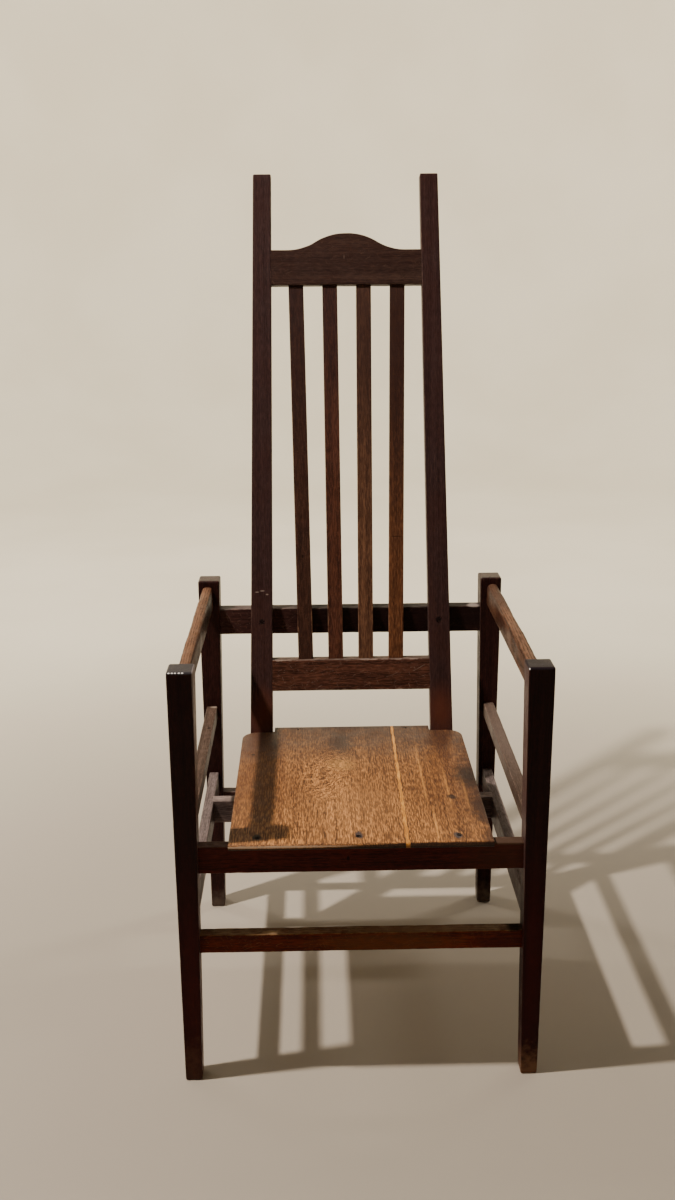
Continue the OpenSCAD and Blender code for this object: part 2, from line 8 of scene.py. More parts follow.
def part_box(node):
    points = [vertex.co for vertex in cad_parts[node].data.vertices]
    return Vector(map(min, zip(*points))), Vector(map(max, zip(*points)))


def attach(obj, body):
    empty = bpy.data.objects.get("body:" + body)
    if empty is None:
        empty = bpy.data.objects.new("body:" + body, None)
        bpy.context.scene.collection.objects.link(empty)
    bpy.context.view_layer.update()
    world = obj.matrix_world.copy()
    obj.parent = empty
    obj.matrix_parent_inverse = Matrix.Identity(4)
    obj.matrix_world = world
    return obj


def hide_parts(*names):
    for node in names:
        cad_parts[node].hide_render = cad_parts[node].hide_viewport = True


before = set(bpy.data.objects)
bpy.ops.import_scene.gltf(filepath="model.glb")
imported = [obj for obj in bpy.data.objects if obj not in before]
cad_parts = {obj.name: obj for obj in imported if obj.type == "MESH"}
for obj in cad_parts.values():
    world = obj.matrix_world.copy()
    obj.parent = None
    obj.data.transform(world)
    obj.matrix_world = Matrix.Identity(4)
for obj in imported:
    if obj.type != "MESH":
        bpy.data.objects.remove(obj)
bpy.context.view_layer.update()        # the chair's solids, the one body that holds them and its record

MM = 0.001
BODY = "root"


# Camera, as the photograph was taken

IMAGE_LONG_SIDE = 24.0
LENS = 24.0
CAMERA_PLACE = (-0.066, -2.025, 1.306)
# Turn about the upright, dip from level and roll, in degrees
CAMERA_TURN, CAMERA_DIP, CAMERA_ROLL = -1.10, 16.53, -0.42


def make_camera():
    """The camera stands in front of the chair, above its arms, and looks down at it."""
    data = bpy.data.cameras.new("camera")
    data.sensor_width = IMAGE_LONG_SIDE
    data.lens = LENS
    camera = bpy.data.objects.new("camera", data)
    camera.matrix_world = Matrix.Translation(CAMERA_PLACE)
    for angle, axis in ((CAMERA_TURN, "Z"), (90 - CAMERA_DIP, "X"), (CAMERA_ROLL, "Z")):
        camera.matrix_world = camera.matrix_world @ Matrix.Rotation(math.radians(angle), 4, axis)
    bpy.context.scene.collection.objects.link(camera)
    bpy.context.scene.camera = camera


# Sizes of the chair that its boxes don't tell

LEG_TAPER_W = 13 * MM
LEG_TAPER_D = 11 * MM
LEAN = math.radians(14.2)
STILE_T = 22 * MM
STILE_TOP_W = 33.5 * MM
STILE_SEAT_W = 42 * MM
BACK_TOP_W = 345 * MM
BACK_SEAT_W = 384 * MM
FOOT_Z = 262 * MM
RAIL_SET = 0.5 * MM
RAIL_T = 18 * MM
CREST_LOW_Z = 1233 * MM
CREST_H = 63 * MM
ARCH_H = 30.5 * MM
ARCH_W = 222 * MM
ARCH_FLAT = 6 * MM
LOWER_BACK_TOP_Z = 551 * MM
LOWER_BACK_H = 57 * MM
SLAT_W = 28 * MM
SLAT_T = 8 * MM
SLAT_PITCH_TOP = 63.5 * MM
SLAT_PITCH_LOW = 57 * MM
SLAT_COUNT = 4
NOTCH_GAP = 16 * MM
TONGUE_HALF = 146 * MM
SEAT_CORNER = 25 * MM
NOSE_ROUND = 3.5 * MM
NOSE_LOW_ROUND = 2 * MM
SLIP_FRONT = (68.25 * MM, 74.75 * MM)
SLIP_REAR = (73.5 * MM, 78.5 * MM)
ARM_ROUND = 7 * MM
SEAT_SCREWS_X = (-161 * MM, -4 * MM, 153 * MM)
STILE_SCREW_Z = 622 * MM
FOOT_SCREW_Z = 281 * MM
NAIL_X = 102 * MM
SCREW_HEAD = 8.5 * MM
SCREW_HEAD_H = 2.6 * MM
NAIL_HEAD = 5 * MM
NAIL_HEAD_H = 1 * MM
# What a head's hole is wider than the head, all round
SCREW_GAP = 0.25 * MM
NAIL_GAP = 0.2 * MM

# How far a rail's hidden end goes into the post that holds it
TUCK = 2.5 * MM
# Rounding that hands and a plane leave on an arris
ARRIS = 1.5 * MM
FOUR_ARRISES = (ARRIS,) * 4
STEP = 4 * MM
QUARTER = np.linspace(0, np.pi / 2, 5)


def corners(node):
    """The lowest and the highest corner of one of the chair's solids, as arrays."""
    low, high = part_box(node)
    return np.array(low), np.array(high)


X_AXIS, Y_AXIS, Z_AXIS = np.eye(3)
UP_BACK = np.array((0.0, math.sin(LEAN), math.cos(LEAN)))
BEHIND_BACK = np.array((0.0, math.cos(LEAN), -math.sin(LEAN)))

BACK_TOP_Z = corners("stile_left")[1][2]
BACK_TOP_Y = corners("stile_left")[1][1] - STILE_T * math.cos(LEAN)
SEAT_FRONT_Y, SEAT_LOW_Z = corners("seat_slip")[0][1:]
SEAT_REAR_Y, SEAT_TOP_Z = corners("seat_slip")[1][1:]
SEAT_SCREW_Y = sum(corners("seat_screws"))[1] / 2
NAIL_Y = sum(corners("seat_nails"))[1] / 2
FRONT_FACE_Y = corners("front_leg_left")[0][1]

# Each set of axes is an origin, then the way along a piece and the two ways across it
UPRIGHT = (np.zeros(3), Z_AXIS, X_AXIS, Y_AXIS)
SIDEWAYS = (np.zeros(3), X_AXIS, Y_AXIS, Z_AXIS)
FRONT_TO_BACK = (np.zeros(3), Y_AXIS, Z_AXIS, X_AXIS)
DOWN_FROM_SEAT = (np.zeros(3), Y_AXIS, X_AXIS, -Z_AXIS)
BACK_ORIGIN = np.array((0.0, BACK_TOP_Y - BACK_TOP_Z * math.tan(LEAN), 0.0))
UP_THE_BACK = (BACK_ORIGIN, UP_BACK, X_AXIS, BEHIND_BACK)
ACROSS_THE_BACK = (BACK_ORIGIN, X_AXIS, BEHIND_BACK, UP_BACK)


def up(z):
    """How far along the leaning back a height lies: z / cos(lean)."""
    return z / math.cos(LEAN)


def front_of_back(z):
    """Y of the stiles' front faces at a height: a straight line that leans back."""
    return BACK_TOP_Y + (z - BACK_TOP_Z) * math.tan(LEAN)


def stile_edges(z):
    """A stile's inner and outer edge at a height. The outer one lies on a line from the seat's
    level to the back's top. The inner one is that less the stile's width, which tapers too."""
    share = (z - SEAT_TOP_Z) / (BACK_TOP_Z - SEAT_TOP_Z)
    outer = BACK_SEAT_W / 2 + (BACK_TOP_W - BACK_SEAT_W) / 2 * share
    return outer - STILE_SEAT_W - (STILE_TOP_W - STILE_SEAT_W) * share, outer


def between_stiles(z):
    """Both ends of a piece between the stiles at a height, tucked into them."""
    half = stile_edges(z)[0] + TUCK
    return -half, half


# Shapes

# Unevenness along a piece: lengths of the waves in millimetres, and their heights
WAVES = ((190, 1.0), (73, 0.6), (29, 0.35), (11, 0.2))
# A knock on an arris: its width in millimetres, and its depth as a share of the deepest
KNOCK_WIDTHS = (2, 8)
KNOCK_DEPTHS = (0.3, 1)
# The most of a side that an arris takes, and the least that is left of its radius at an end
MOST_ROUND = 0.46
LEAST_ROUND = 0.15
# The places beside an arris, and the most of a side that they take
NEAR_ARRIS, NEAR_SHARE = 1.5 * MM, 0.16
OFF_ARRIS, OFF_SHARE = 4.5 * MM, 0.34
# How far the last place on a flat end draws in, over the end's rounding
END_DRAW = 1.8
# Length of tree that a timber may come from, in metres
TREE_L = 3
SHARP_ANGLE = math.radians(40)
# How far the waves of a split swing
SPLIT_SWING = 0.5 * MM


def wavy(s, rng):
    """Unevenness along a piece, from -1 to 1: a sum of sines of falling length and height."""
    total = np.zeros_like(s)
    for length, height in WAVES:
        total += height * np.sin(2 * np.pi * s / (length * MM) + rng.uniform(0, 2 * np.pi))
    return total / sum(height for _, height in WAVES)


def worn_arris(s, rng, radius, knocks, deepest=1.0 * MM):
    """Radius of an arris along a piece: radius * (1 + 0.35 * wavy), and a bell for each knock."""
    rounding = radius * (1 + 0.35 * wavy(s, rng))
    for _ in range(knocks):
        place = rng.uniform(s.min(), s.max())
        width = rng.uniform(*KNOCK_WIDTHS) * MM
        rounding += rng.uniform(*KNOCK_DEPTHS) * deepest * np.exp(-((s - place) / width) ** 2)
    return rounding


def worn_arrises(s, rng, knocks, sizes=FOUR_ARRISES, deepest=1.0 * MM):
    """The radii of a piece's arrises along it, one column for each."""
    return np.stack([worn_arris(s, rng, size, knocks, deepest) for size in sizes], axis=1)


def sunken(s, rng, depth):
    """How deep a face has sunk along a piece: from 0 to depth, by wavy."""
    return depth * (0.5 + 0.5 * wavy(s, rng))


def stations(start, end, start_round=0.0, end_round=0.0, step=STEP):
    """Places along a piece, and how far its faces draw in at each: even steps between the ends.

    A rounded end follows a quarter circle: at angle a the place is r - r * sin(a) from the
    end and the faces draw in by r - r * cos(a). One more place on the flat end draws in further.
    """
    count = max(2, int(round((end - start) / step)))
    middle = np.linspace(start + start_round, end - end_round, count + 1)
    away = np.append(1 - np.sin(QUARTER[1:]), 0)
    drawn = np.append(1 - np.cos(QUARTER[1:]), END_DRAW)
    places, insets = [middle], [np.zeros_like(middle)]
    if start_round:
        places.insert(0, start + start_round * away[::-1])
        insets.insert(0, start_round * drawn[::-1])
    if end_round:
        places.append(end - end_round * away)
        insets.append(end_round * drawn)
    return np.concatenate(places), np.concatenate(insets)


def rounded_rings(b0, b1, c0, c1, radii):
    """One rounded rectangle for each place along a piece, as points (b, c).

    Corner k turns a quarter circle about a centre that lies one radius inside both faces.
    Between two corners lie five places: two close to each arris and one in the middle.
    """
    reach = np.minimum(b1 - b0, c1 - c0) * MOST_ROUND
    corner_b, corner_c = (b1, b1, b0, b0), (c0, c1, c1, c0)
    side_b, side_c = (1, 1, -1, -1), (-1, 1, 1, -1)
    arcs = []
    for k in range(4):
        r = np.minimum(radii[:, k], reach)
        angle = (k - 1) * np.pi / 2 + QUARTER
        arc_b = (corner_b[k] - side_b[k] * r)[:, None] + r[:, None] * np.cos(angle)
        arc_c = (corner_c[k] - side_c[k] * r)[:, None] + r[:, None] * np.sin(angle)
        arcs.append(np.stack([arc_b, arc_c], axis=-1))
    parts = []
    for k in range(4):
        start, end = arcs[k][:, -1], arcs[(k + 1) % 4][:, 0]
        length = np.maximum(np.linalg.norm(end - start, axis=-1), 1e-6)
        near = np.minimum(NEAR_ARRIS / length, NEAR_SHARE)
        off = np.minimum(OFF_ARRIS / length, OFF_SHARE)
        shares = np.stack([near, off, np.full_like(near, 0.5), 1 - off, 1 - near], axis=1)
        parts += [arcs[k], start[:, None] + (end - start)[:, None] * shares[..., None]]
    return np.concatenate(parts, axis=1)


def placed(axes, s, b, c):
    """Points of a piece in the chair's frame: origin + s * along + b * across + c * other way."""
    origin, along, across, other = axes
    return origin + s[..., None] * along + b[..., None] * across + c[..., None] * other


def measured(axes, points):
    """The way back: how far points lie along a piece and the two ways across it."""
    origin, *ways = axes
    return [(points - origin) @ way for way in ways]


def shell(name, grid, closed=True):
    """An object on a grid of points: each row is a ring, joined to the next, with a flat first end
    and, where it is closed, a flat last one."""
    rows, around = grid.shape[:2]
    index = np.arange(rows * around).reshape(rows, around)
    turned = np.roll(index, -1, axis=1)
    quads = np.stack([index[:-1], turned[:-1], turned[1:], index[1:]], axis=-1)
    faces = quads.reshape(-1, 4).tolist() + [index[0, ::-1].tolist()]
    if closed:
        faces.append(index[-1].tolist())
    mesh = bpy.data.meshes.new(name)
    mesh.from_pydata(grid.reshape(-1, 3).tolist(), [], faces)
    mesh.validate()
    piece = bpy.data.objects.new(name, mesh)
    bpy.context.scene.collection.objects.link(piece)
    return piece


def member(name, axes, places, insets, faces, radii, slant=0.0, rise=0.0):
    """A straight piece of timber: a rounded rectangle carried along it between its four faces, each
    one number or one for each place. Slant moves a point along the piece by slant * c. Rise tilts
    the last face: a point moves out by rise * (b - b0), less and less towards the face c0."""
    b0, b1, c0, c1, slant = (value + np.zeros_like(places) for value in (*faces, slant))
    drawn = np.clip(radii - insets[:, None], LEAST_ROUND * radii, None)
    rings = rounded_rings(b0 + insets, b1 - insets, c0 + insets, c1 - insets, drawn)
    b, c = rings[..., 0], rings[..., 1]
    c = c + rise * (b - b0[:, None]) * (c - c0[:, None]) / (c1 - c0)[:, None]
    return shell(name, placed(axes, places[:, None] + slant[:, None] * c, b, c))


def cut(piece, cutters):
    """Takes each cutter's shape out of a piece for good."""
    for cutter in cutters:
        taken = piece.modifiers.new("cut", "BOOLEAN")
        taken.operation = "DIFFERENCE"
        taken.solver = "EXACT"
        taken.object = cutter
    left = bpy.context.evaluated_depsgraph_get()
    left.update()
    mesh = bpy.data.meshes.new_from_object(piece.evaluated_get(left))
    piece.modifiers.clear()
    piece.data = mesh
    for cutter in cutters:
        bpy.data.objects.remove(cutter)


def round_cutter(axes, s, b, c, r_deep, r_face, depth, sides=32):
    """A cone's slice whose wide end stands a little out of the face at c and whose narrow end is
    depth inside it. The radius grows evenly from r_deep to r_face."""
    turn = np.linspace(0, 2 * np.pi, sides, endpoint=False)
    inward = np.array((depth, 0.0, -1.0 * MM))[:, None]
    radius = np.array((r_deep, r_face, r_face))[:, None]
    grid_s = s + radius * np.cos(turn)
    grid_b = b + radius * np.sin(turn)
    grid_c = c + inward + np.zeros_like(grid_s)
    return shell("cutter", placed(axes, grid_s, grid_b, grid_c))


def crack_cutter(axes, path_s, b, bends, half_width, c_low, c_high):
    """A thin leaf along a piece, in a wave that swings to b + swing * sin(bends), as thick as twice
    half_width, from c_low to c_high."""
    path_b = b + SPLIT_SWING * np.sin(bends)
    ring_b = np.stack([path_b - half_width, path_b + half_width], axis=1)[:, [0, 1, 1, 0]]
    ring_c = np.tile([c_low, c_low, c_high, c_high], (len(path_s), 1))
    ring_s = np.repeat(path_s[:, None], 4, axis=1)
    return shell("cutter", placed(axes, ring_s, ring_b, ring_c))


def mark_timber(piece, axes, faces, ends, heart, rng):
    """Writes where each point lies in its timber, for the finishes to follow.

    "grain" is the place across and along the timber, measured from the tree's heart. "arris" is
    the distance to the nearest arris: the second smallest of the distances to the faces.
    """
    mesh = piece.data
    points = np.empty(len(mesh.vertices) * 3)
    mesh.vertices.foreach_get("co", points)
    s, b, c = measured(axes, points.reshape(-1, 3))
    b0, b1, c0, c1 = faces(s)
    away = [np.abs(np.minimum(place - low, high - place))
            for place, low, high in ((b, b0, b1), (c, c0, c1), (s, *ends))]
    arris = np.sort(np.stack(away), axis=0)[1]
    grain = np.stack([b - heart[0], c - heart[1], s + rng.uniform(0, TREE_L)], axis=-1)
    mesh.attributes.new("grain", "FLOAT_VECTOR", "POINT").data.foreach_set("vector", grain.ravel())
    mesh.attributes.new("arris", "FLOAT", "POINT").data.foreach_set("value", arris)
    mesh.shade_smooth()
    mesh.set_sharp_from_angle(angle=SHARP_ANGLE)


def timber(node, kind, slot, material, axes, where, faces, radii, ends, heart, rng, planed=None,
           cutters=(), **bent):
    """Makes a piece between its faces, or its planed faces where these differ, cuts its holes and
    marks its timber. It stands for its node, takes its finish and goes with the chair."""
    planed = planed or faces(where[0])
    piece = member(f"{node}_{kind}", axes, *where, planed, radii, **bent)
    if cutters:
        cut(piece, cutters)
    mark_timber(piece, axes, faces, ends, heart, rng)
    piece.data.materials.clear()
    piece.data.materials.append(material)
    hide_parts(node)
    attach(piece, BODY)


# Shader work

def dye(colour):
    """A colour given as 0 to 255 on a screen, as the linear values that shaders take."""
    screen = np.array(colour) / 255
    linear = np.where(screen <= 0.04045, screen / 12.92, ((screen + 0.055) / 1.055) ** 2.4)
    return (*linear.tolist(), 1.0)


class Wiring:
    """Places shader nodes in one tree and joins each to what feeds it."""

    def __init__(self, tree):
        self.tree = tree

    def feed(self, socket, value):
        if isinstance(value, bpy.types.NodeSocket):
            self.tree.links.new(value, socket)
        else:
            socket.default_value = value

    def place(self, kind, feeds, **settings):
        made = self.tree.nodes.new(f"ShaderNode{kind}")
        for name, value in settings.items():
            setattr(made, name, value)
        for key, value in feeds.items():
            self.feed(made.inputs[key], value)
        return made

    def math(self, operation, *values, clamp=False):
        return self.place("Math", dict(enumerate(values)), operation=operation, use_clamp=clamp).outputs[0]

    def times(self, *values, clamp=False):
        return self.math("MULTIPLY", *values, clamp=clamp)

    def total(self, start, *parts):
        """Start and each value times its share, added up."""
        for value, share in parts:
            start = self.math("MULTIPLY_ADD", value, share, start)
        return start

    def vector(self, operation, *values):
        made = self.place("VectorMath", dict(enumerate(values)), operation=operation)
        return made.outputs["Value" if operation in ("LENGTH", "DOT_PRODUCT") else "Vector"]

    def scaled(self, vector, amount):
        return self.place("VectorMath", {0: vector, "Scale": amount}, operation="SCALE").outputs[0]

    def noise(self, place, fineness, detail=2.0, roughness=0.5, colour=False):
        """Noise over a place, its fineness one number or one for each axis."""
        each = fineness if isinstance(fineness, tuple) else (fineness,) * 3
        feeds = {"Vector": self.vector("MULTIPLY", place, each), "Scale": 1.0, "Detail": detail,
                 "Roughness": roughness}
        return self.place("TexNoise", feeds).outputs[1 if colour else 0]

    def step(self, value, low, high, to_low=0.0, to_high=1.0):
        feeds = {"Value": value, "From Min": low, "From Max": high, "To Min": to_low, "To Max": to_high}
        return self.place("MapRange", feeds, interpolation_type="SMOOTHSTEP").outputs[0]

    def mix(self, amount, first, second):
        return self.place("Mix", {0: amount, 6: first, 7: second}, data_type="RGBA").outputs[2]

    def layered(self, colour, *layers):
        """A colour under its layers, each (how much of it shows, its colour)."""
        for amount, layer in layers:
            colour = self.mix(amount, colour, layer)
        return colour

    def group(self, tree, **feeds):
        labels = {name.replace("_", " "): value for name, value in feeds.items()}
        return self.place("Group", labels, node_tree=tree).outputs

    def spot(self, place, centre, size, softness, ragged):
        """A spot whose centre and half-sizes are in millimetres."""
        centre, size = ([value * MM for value in row] for row in (centre, size))
        return self.group(
            ragged_spot, Place=place, Centre=centre, Size=size, Softness=softness, Ragged=ragged)["Spot"]

    def marks(self, place, marks):
        """The layers of marks, each (centre, half-sizes, colour, strength, softness, raggedness)."""
        return [(self.times(self.spot(place, centre, size, softness, ragged), strength), dye(tint))
                for centre, size, tint, strength, softness, ragged in marks]

    def surface(self, feeds):
        shader = self.place("BsdfPrincipled", feeds)
        self.place("OutputMaterial", {"Surface": shader.outputs[0]})


def shader_group(name, vectors, values, gives):
    """Makes a node group out of a function of its wiring and its inputs, vectors first and then
    values. The function returns one socket for each name in gives."""
    def make(fill):
        tree = bpy.data.node_groups.new(name, "ShaderNodeTree")
        for labels, way, kind in ((vectors, "INPUT", "Vector"), (values, "INPUT", "Float"),
                                  (gives, "OUTPUT", "Float")):
            for label in labels:
                tree.interface.new_socket(name=label, in_out=way, socket_type=f"NodeSocket{kind}")
        inlet = tree.nodes.new("NodeGroupInput").outputs
        outlet = tree.nodes.new("NodeGroupOutput").inputs
        w = Wiring(tree)
        for label, socket in zip(gives, fill(w, *(inlet[label] for label in (*vectors, *values)))):
            w.feed(outlet[label], socket)
        return tree
    return make


@shader_group("oak figure", ("Grain",), ("Ring Width", "Wander", "Fineness"),
              ("Figure", "Pores", "Flecks", "Streaks"))
def oak_figure(w, grain, ring_width, wander, fineness):
    """Oak's own pattern, from the place in the timber.

    Figure: the year rings, as the distance from the heart over the ring width, with the broad
    wandering of real growth; 0 where the wood is open and 1 where it is dense. Pores: thin dark
    dashes, most in the open wood. Flecks: short light dashes. Streaks: long changes of tone.
    """
    drift = w.vector("SUBTRACT", w.noise(grain, (16, 16, 2.6), colour=True), (0.5,) * 3)
    flutter = w.vector("SUBTRACT", w.noise(grain, (170, 170, 26), colour=True), (0.5,) * 3)
    shift = w.vector("ADD", w.scaled(drift, wander), w.scaled(flutter, 1.6 * MM))
    across = w.vector("MULTIPLY", w.vector("ADD", grain, shift), (1, 1, 0))
    turns = w.math("DIVIDE", w.vector("LENGTH", across), ring_width)
    part, year = w.math("FRACT", turns), w.math("FLOOR", turns)
    tone = w.place("TexWhiteNoise", {"W": year}, noise_dimensions="1D").outputs["Value"]
    figure = w.times(w.step(part, 0.05, 0.55), w.step(part, 0.86, 1, 1, 0))
    figure = w.times(figure, w.total(0.6, (tone, 0.4)))

    fine = w.noise(grain, (1500, 1500, 85), 1, 0.4)
    broad = w.noise(grain, (620, 620, 46), 1)
    dashes = w.math("MAXIMUM", w.step(fine, 0.56, 0.70), w.step(broad, 0.60, 0.72))
    pores = w.times(dashes, w.total(1, (figure, -0.7)), clamp=True)
    bent = w.scaled(w.vector("MULTIPLY_ADD", flutter, (3 * MM, 3 * MM, 0), grain), fineness)
    flecks = w.step(w.noise(bent, (520, 520, 70), 1.5), 0.43, 0.62)
    streaks = w.step(w.noise(grain, (120, 120, 2.2), 3, 0.6), 0.28, 0.72)
    return figure, pores, flecks, streaks


@shader_group("arris wear", ("Place",), ("Arris", "Reach", "Amount"), ("Worn",))
def arris_wear(w, place, arris, reach, amount):
    """Where rubbing has gone through the finish: within reach of an arris, ragged by a noise."""
    ragged = w.times(reach, w.step(w.noise(place, 90, 5, 0.65), 0.3, 0.75, 0.1, 1.9))
    near = w.math("SUBTRACT", 1, w.math("DIVIDE", arris, ragged), clamp=True)
    here = w.times(w.step(near, 0, 0.5), w.step(w.noise(place, 14), 0.34, 0.62, 0.25, 1))
    return [w.times(here, amount, clamp=True)]


@shader_group("dust and sheen masks", ("Place",), ("Amount",), ("Dust", "Top", "Side"))
def dust_and_sheen_masks(w, place, amount):
    """Dust on faces that look up, thinner where a noise is low. Top: 1 on faces
    and roundings that look up, 0 on upright faces. Side: 1 on upright faces that look sideways,
    where a grey sheen is painted in place of their grazing reflection."""
    normal = w.place("NewGeometry", {}).outputs["Normal"]
    lift = w.vector("DOT_PRODUCT", normal, (0, 0, 1))
    sideways = w.math("ABSOLUTE", w.vector("DOT_PRODUCT", normal, (1, 0, 0)))
    cover = w.step(w.noise(place, 42, 5, 0.65), 0.25, 0.7, 0.35, 1)
    dust = w.times(w.times(w.step(lift, 0.45, 0.95), cover), amount, clamp=True)
    return dust, w.step(lift, 0.15, 0.5), w.step(sideways, 0.75, 0.98)


@shader_group("uneven stain", ("Grain",), ("Size",), ("Patches",))
def uneven_stain(w, grain, size):
    """Uneven stain: broad clouds of a size given in metres, drawn out along the timber."""
    sized = w.scaled(grain, w.math("DIVIDE", 1, size))
    return [w.step(w.noise(sized, (1, 1, 0.35), 4, 0.6), 0.34, 0.66)]


@shader_group("fine scratches", ("Grain",), ("Amount",), ("Scratches",))
def fine_scratches(w, grain, amount):
    """Fine scratches: a noise drawn out in two slanting ways and kept only at its peaks."""
    bent = w.vector("ADD", grain, w.scaled(w.noise(grain, 30, 1, colour=True), 0.01))
    kept = []
    for slope, long_way, cross_way in ((0.5, 22, 1300), (-1.1, 34, 1500)):
        turned = w.place("VectorRotate", {"Vector": bent, "Angle": slope}, rotation_type="X_AXIS")
        line = w.noise(turned.outputs[0], (cross_way, cross_way, long_way), 0)
        kept.append(w.step(line, 0.775, 0.80))
    return [w.times(w.math("MAXIMUM", *kept), amount, clamp=True)]


@shader_group("ragged spot", ("Place", "Centre", "Size"), ("Softness", "Ragged"), ("Spot",))
def ragged_spot(w, place, centre, size, softness, ragged):
    """A spot at a centre, by its half-sizes: 1 inside, fading to 0 over its softness, ragged edge."""
    away = w.vector("DIVIDE", w.vector("SUBTRACT", place, centre), size)
    wobble = w.math("SUBTRACT", w.noise(place, 75, 3, 0.6), 0.5)
    distance = w.total(w.vector("LENGTH", away), (wobble, ragged))
    beyond = w.math("SUBTRACT", distance, w.math("SUBTRACT", 1, softness))
    return [w.step(w.math("DIVIDE", beyond, softness), 0, 1, 1, 0)]


BLACK_STAIN = (14, 8, 7)
EYE_CONTRAST = 1.25


def new_material(name):
    """A material with nothing in it, the wiring to fill it, and the place on the piece."""
    material = bpy.data.materials.new(name)
    material.use_nodes = True
    material.node_tree.nodes.clear()
    w = Wiring(material.node_tree)
    return material, w, w.place("TexCoord", {}).outputs["Object"]


def oak(name, dark, light, ring=3.2 * MM, wander=0.02, figure=0.2, flecks=0.35, streaks=0.45, pores=0.6,
        fineness=1, patch=BLACK_STAIN, patch_amount=0.35, patch_size=0.09, worn=(104, 72, 52),
        wear=0.6, reach=1.5 * MM, dust=0, dust_and_sheen_colour=(150, 138, 130), scratches=0.35, gloss=0.4,
        shine=0.08, varnish=0, side_sheen=0, marks=(), swells=()):
    """Stained and varnished oak.

    The colour goes from dark to light by the oak's figure, flecks and streaks. Uneven stain,
    dust, a grey sheen painted on faces that look sideways in place of their grazing reflection,
    worn arrises, pores, scratches and single marks, some of them painted light or shade, are laid
    over it in that order. Varnish is the clear coat on faces that look up.
    A swell is (centre, half-sizes, height) in millimetres and lifts the year rings, which draws an
    eye in the figure; there the rings show more.
    """
    material, w, place = new_material(name)
    dark, light, patch, worn, black = map(dye, (dark, light, patch, worn, BLACK_STAIN))
    grain = w.place("Attribute", {}, attribute_name="grain").outputs["Vector"]
    arris = w.place("Attribute", {}, attribute_name="arris").outputs["Fac"]

    rings, eyes = grain, []
    for centre, size, height in swells:
        eyes.append(w.spot(place, centre, size, 1, 0.3))
        lift = w.place("CombineXYZ", {"X": w.times(eyes[-1], height * MM)}).outputs[0]
        rings = w.vector("ADD", rings, lift)
    wood = w.group(oak_figure, Grain=rings, Ring_Width=ring, Wander=wander, Fineness=fineness)
    shown = [(w.times(w.math("SUBTRACT", wood["Figure"], 0.5), eye), EYE_CONTRAST) for eye in eyes]
    tone = w.total(
        0, (wood["Figure"], figure), (wood["Flecks"], flecks), (wood["Streaks"], streaks), *shown)
    tone = w.math("DIVIDE", tone, figure + flecks + streaks, clamp=True)
    uneven = w.group(uneven_stain, Grain=grain, Size=patch_size)["Patches"]
    dust_and_sheen = w.group(dust_and_sheen_masks, Place=place, Amount=dust)
    dim, bright = ((*(share * channel for channel in dye(dust_and_sheen_colour)[:3]), 1) for share in (0.5, 1.35))
    dust_and_sheen_tint = w.mix(tone, dim, bright)
    rubbed = w.group(arris_wear, Arris=arris, Place=place, Reach=reach, Amount=wear)["Worn"]
    pore = w.times(wood["Pores"], pores)
    lines = w.group(fine_scratches, Grain=grain, Amount=scratches)["Scratches"]
    colour = w.layered(
        w.mix(tone, dark, light), (w.times(uneven, patch_amount), patch), (dust_and_sheen["Dust"], dust_and_sheen_tint),
        # a grey sheen painted on faces that look sideways, in place of their grazing reflection
        (w.times(dust_and_sheen["Side"], side_sheen), dust_and_sheen_tint), (rubbed, worn), (pore, w.mix(0.25, black, dark)),
        (lines, worn), *w.marks(place, marks))

    smear = w.noise(place, 28, 4, 0.6)
    dull = w.total(gloss, (pore, 0.25), (dust_and_sheen["Dust"], 0.3), (rubbed, 0.12))
    dull = w.math("ADD", dull, w.step(smear, 0.3, 0.7, -0.06, 0.08), clamp=True)
    coat = w.times(dust_and_sheen["Top"], w.step(smear, 0.3, 0.6, 0.55 * varnish, varnish))
    height = w.total(0, (pore, -0.5), (wood["Flecks"], 0.18), (lines, -0.25), (smear, 0.6))
    bump = w.place("Bump", {"Height": height, "Strength": 0.7, "Distance": 0.35 * MM})
    w.surface({"Base Color": colour, "Roughness": dull, "Normal": bump.outputs[0],
               "Specular IOR Level": shine, "Coat Weight": coat, "Coat Roughness": 0.2})
    return material


def steel(name, bright, grime, roughness, grime_amount, marks=()):
    """Old steel: dark oxide in clouds over the bare metal, fine pits and brushed roughness."""
    material, w, place = new_material(name)
    cloud = w.noise(place, 520, 4, 0.6)
    oxide = w.step(cloud, 0.62 - 0.4 * grime_amount, 0.72 - 0.2 * grime_amount)
    colour = w.layered(w.mix(oxide, dye(bright), dye(grime)), *w.marks(place, marks))
    pits = w.noise(place, 2600, 3, 0.6)
    bump = w.place("Bump", {"Height": pits, "Strength": 0.5, "Distance": 0.12 * MM})
    w.surface({"Base Color": colour, "Metallic": w.total(0.95, (oxide, -0.7)),
               "Roughness": w.total(roughness, (oxide, 0.3)), "Normal": bump.outputs[0]})
    return material


# Finishes. A mark is (centre, half-sizes, colour, strength, softness, raggedness), in millimetres

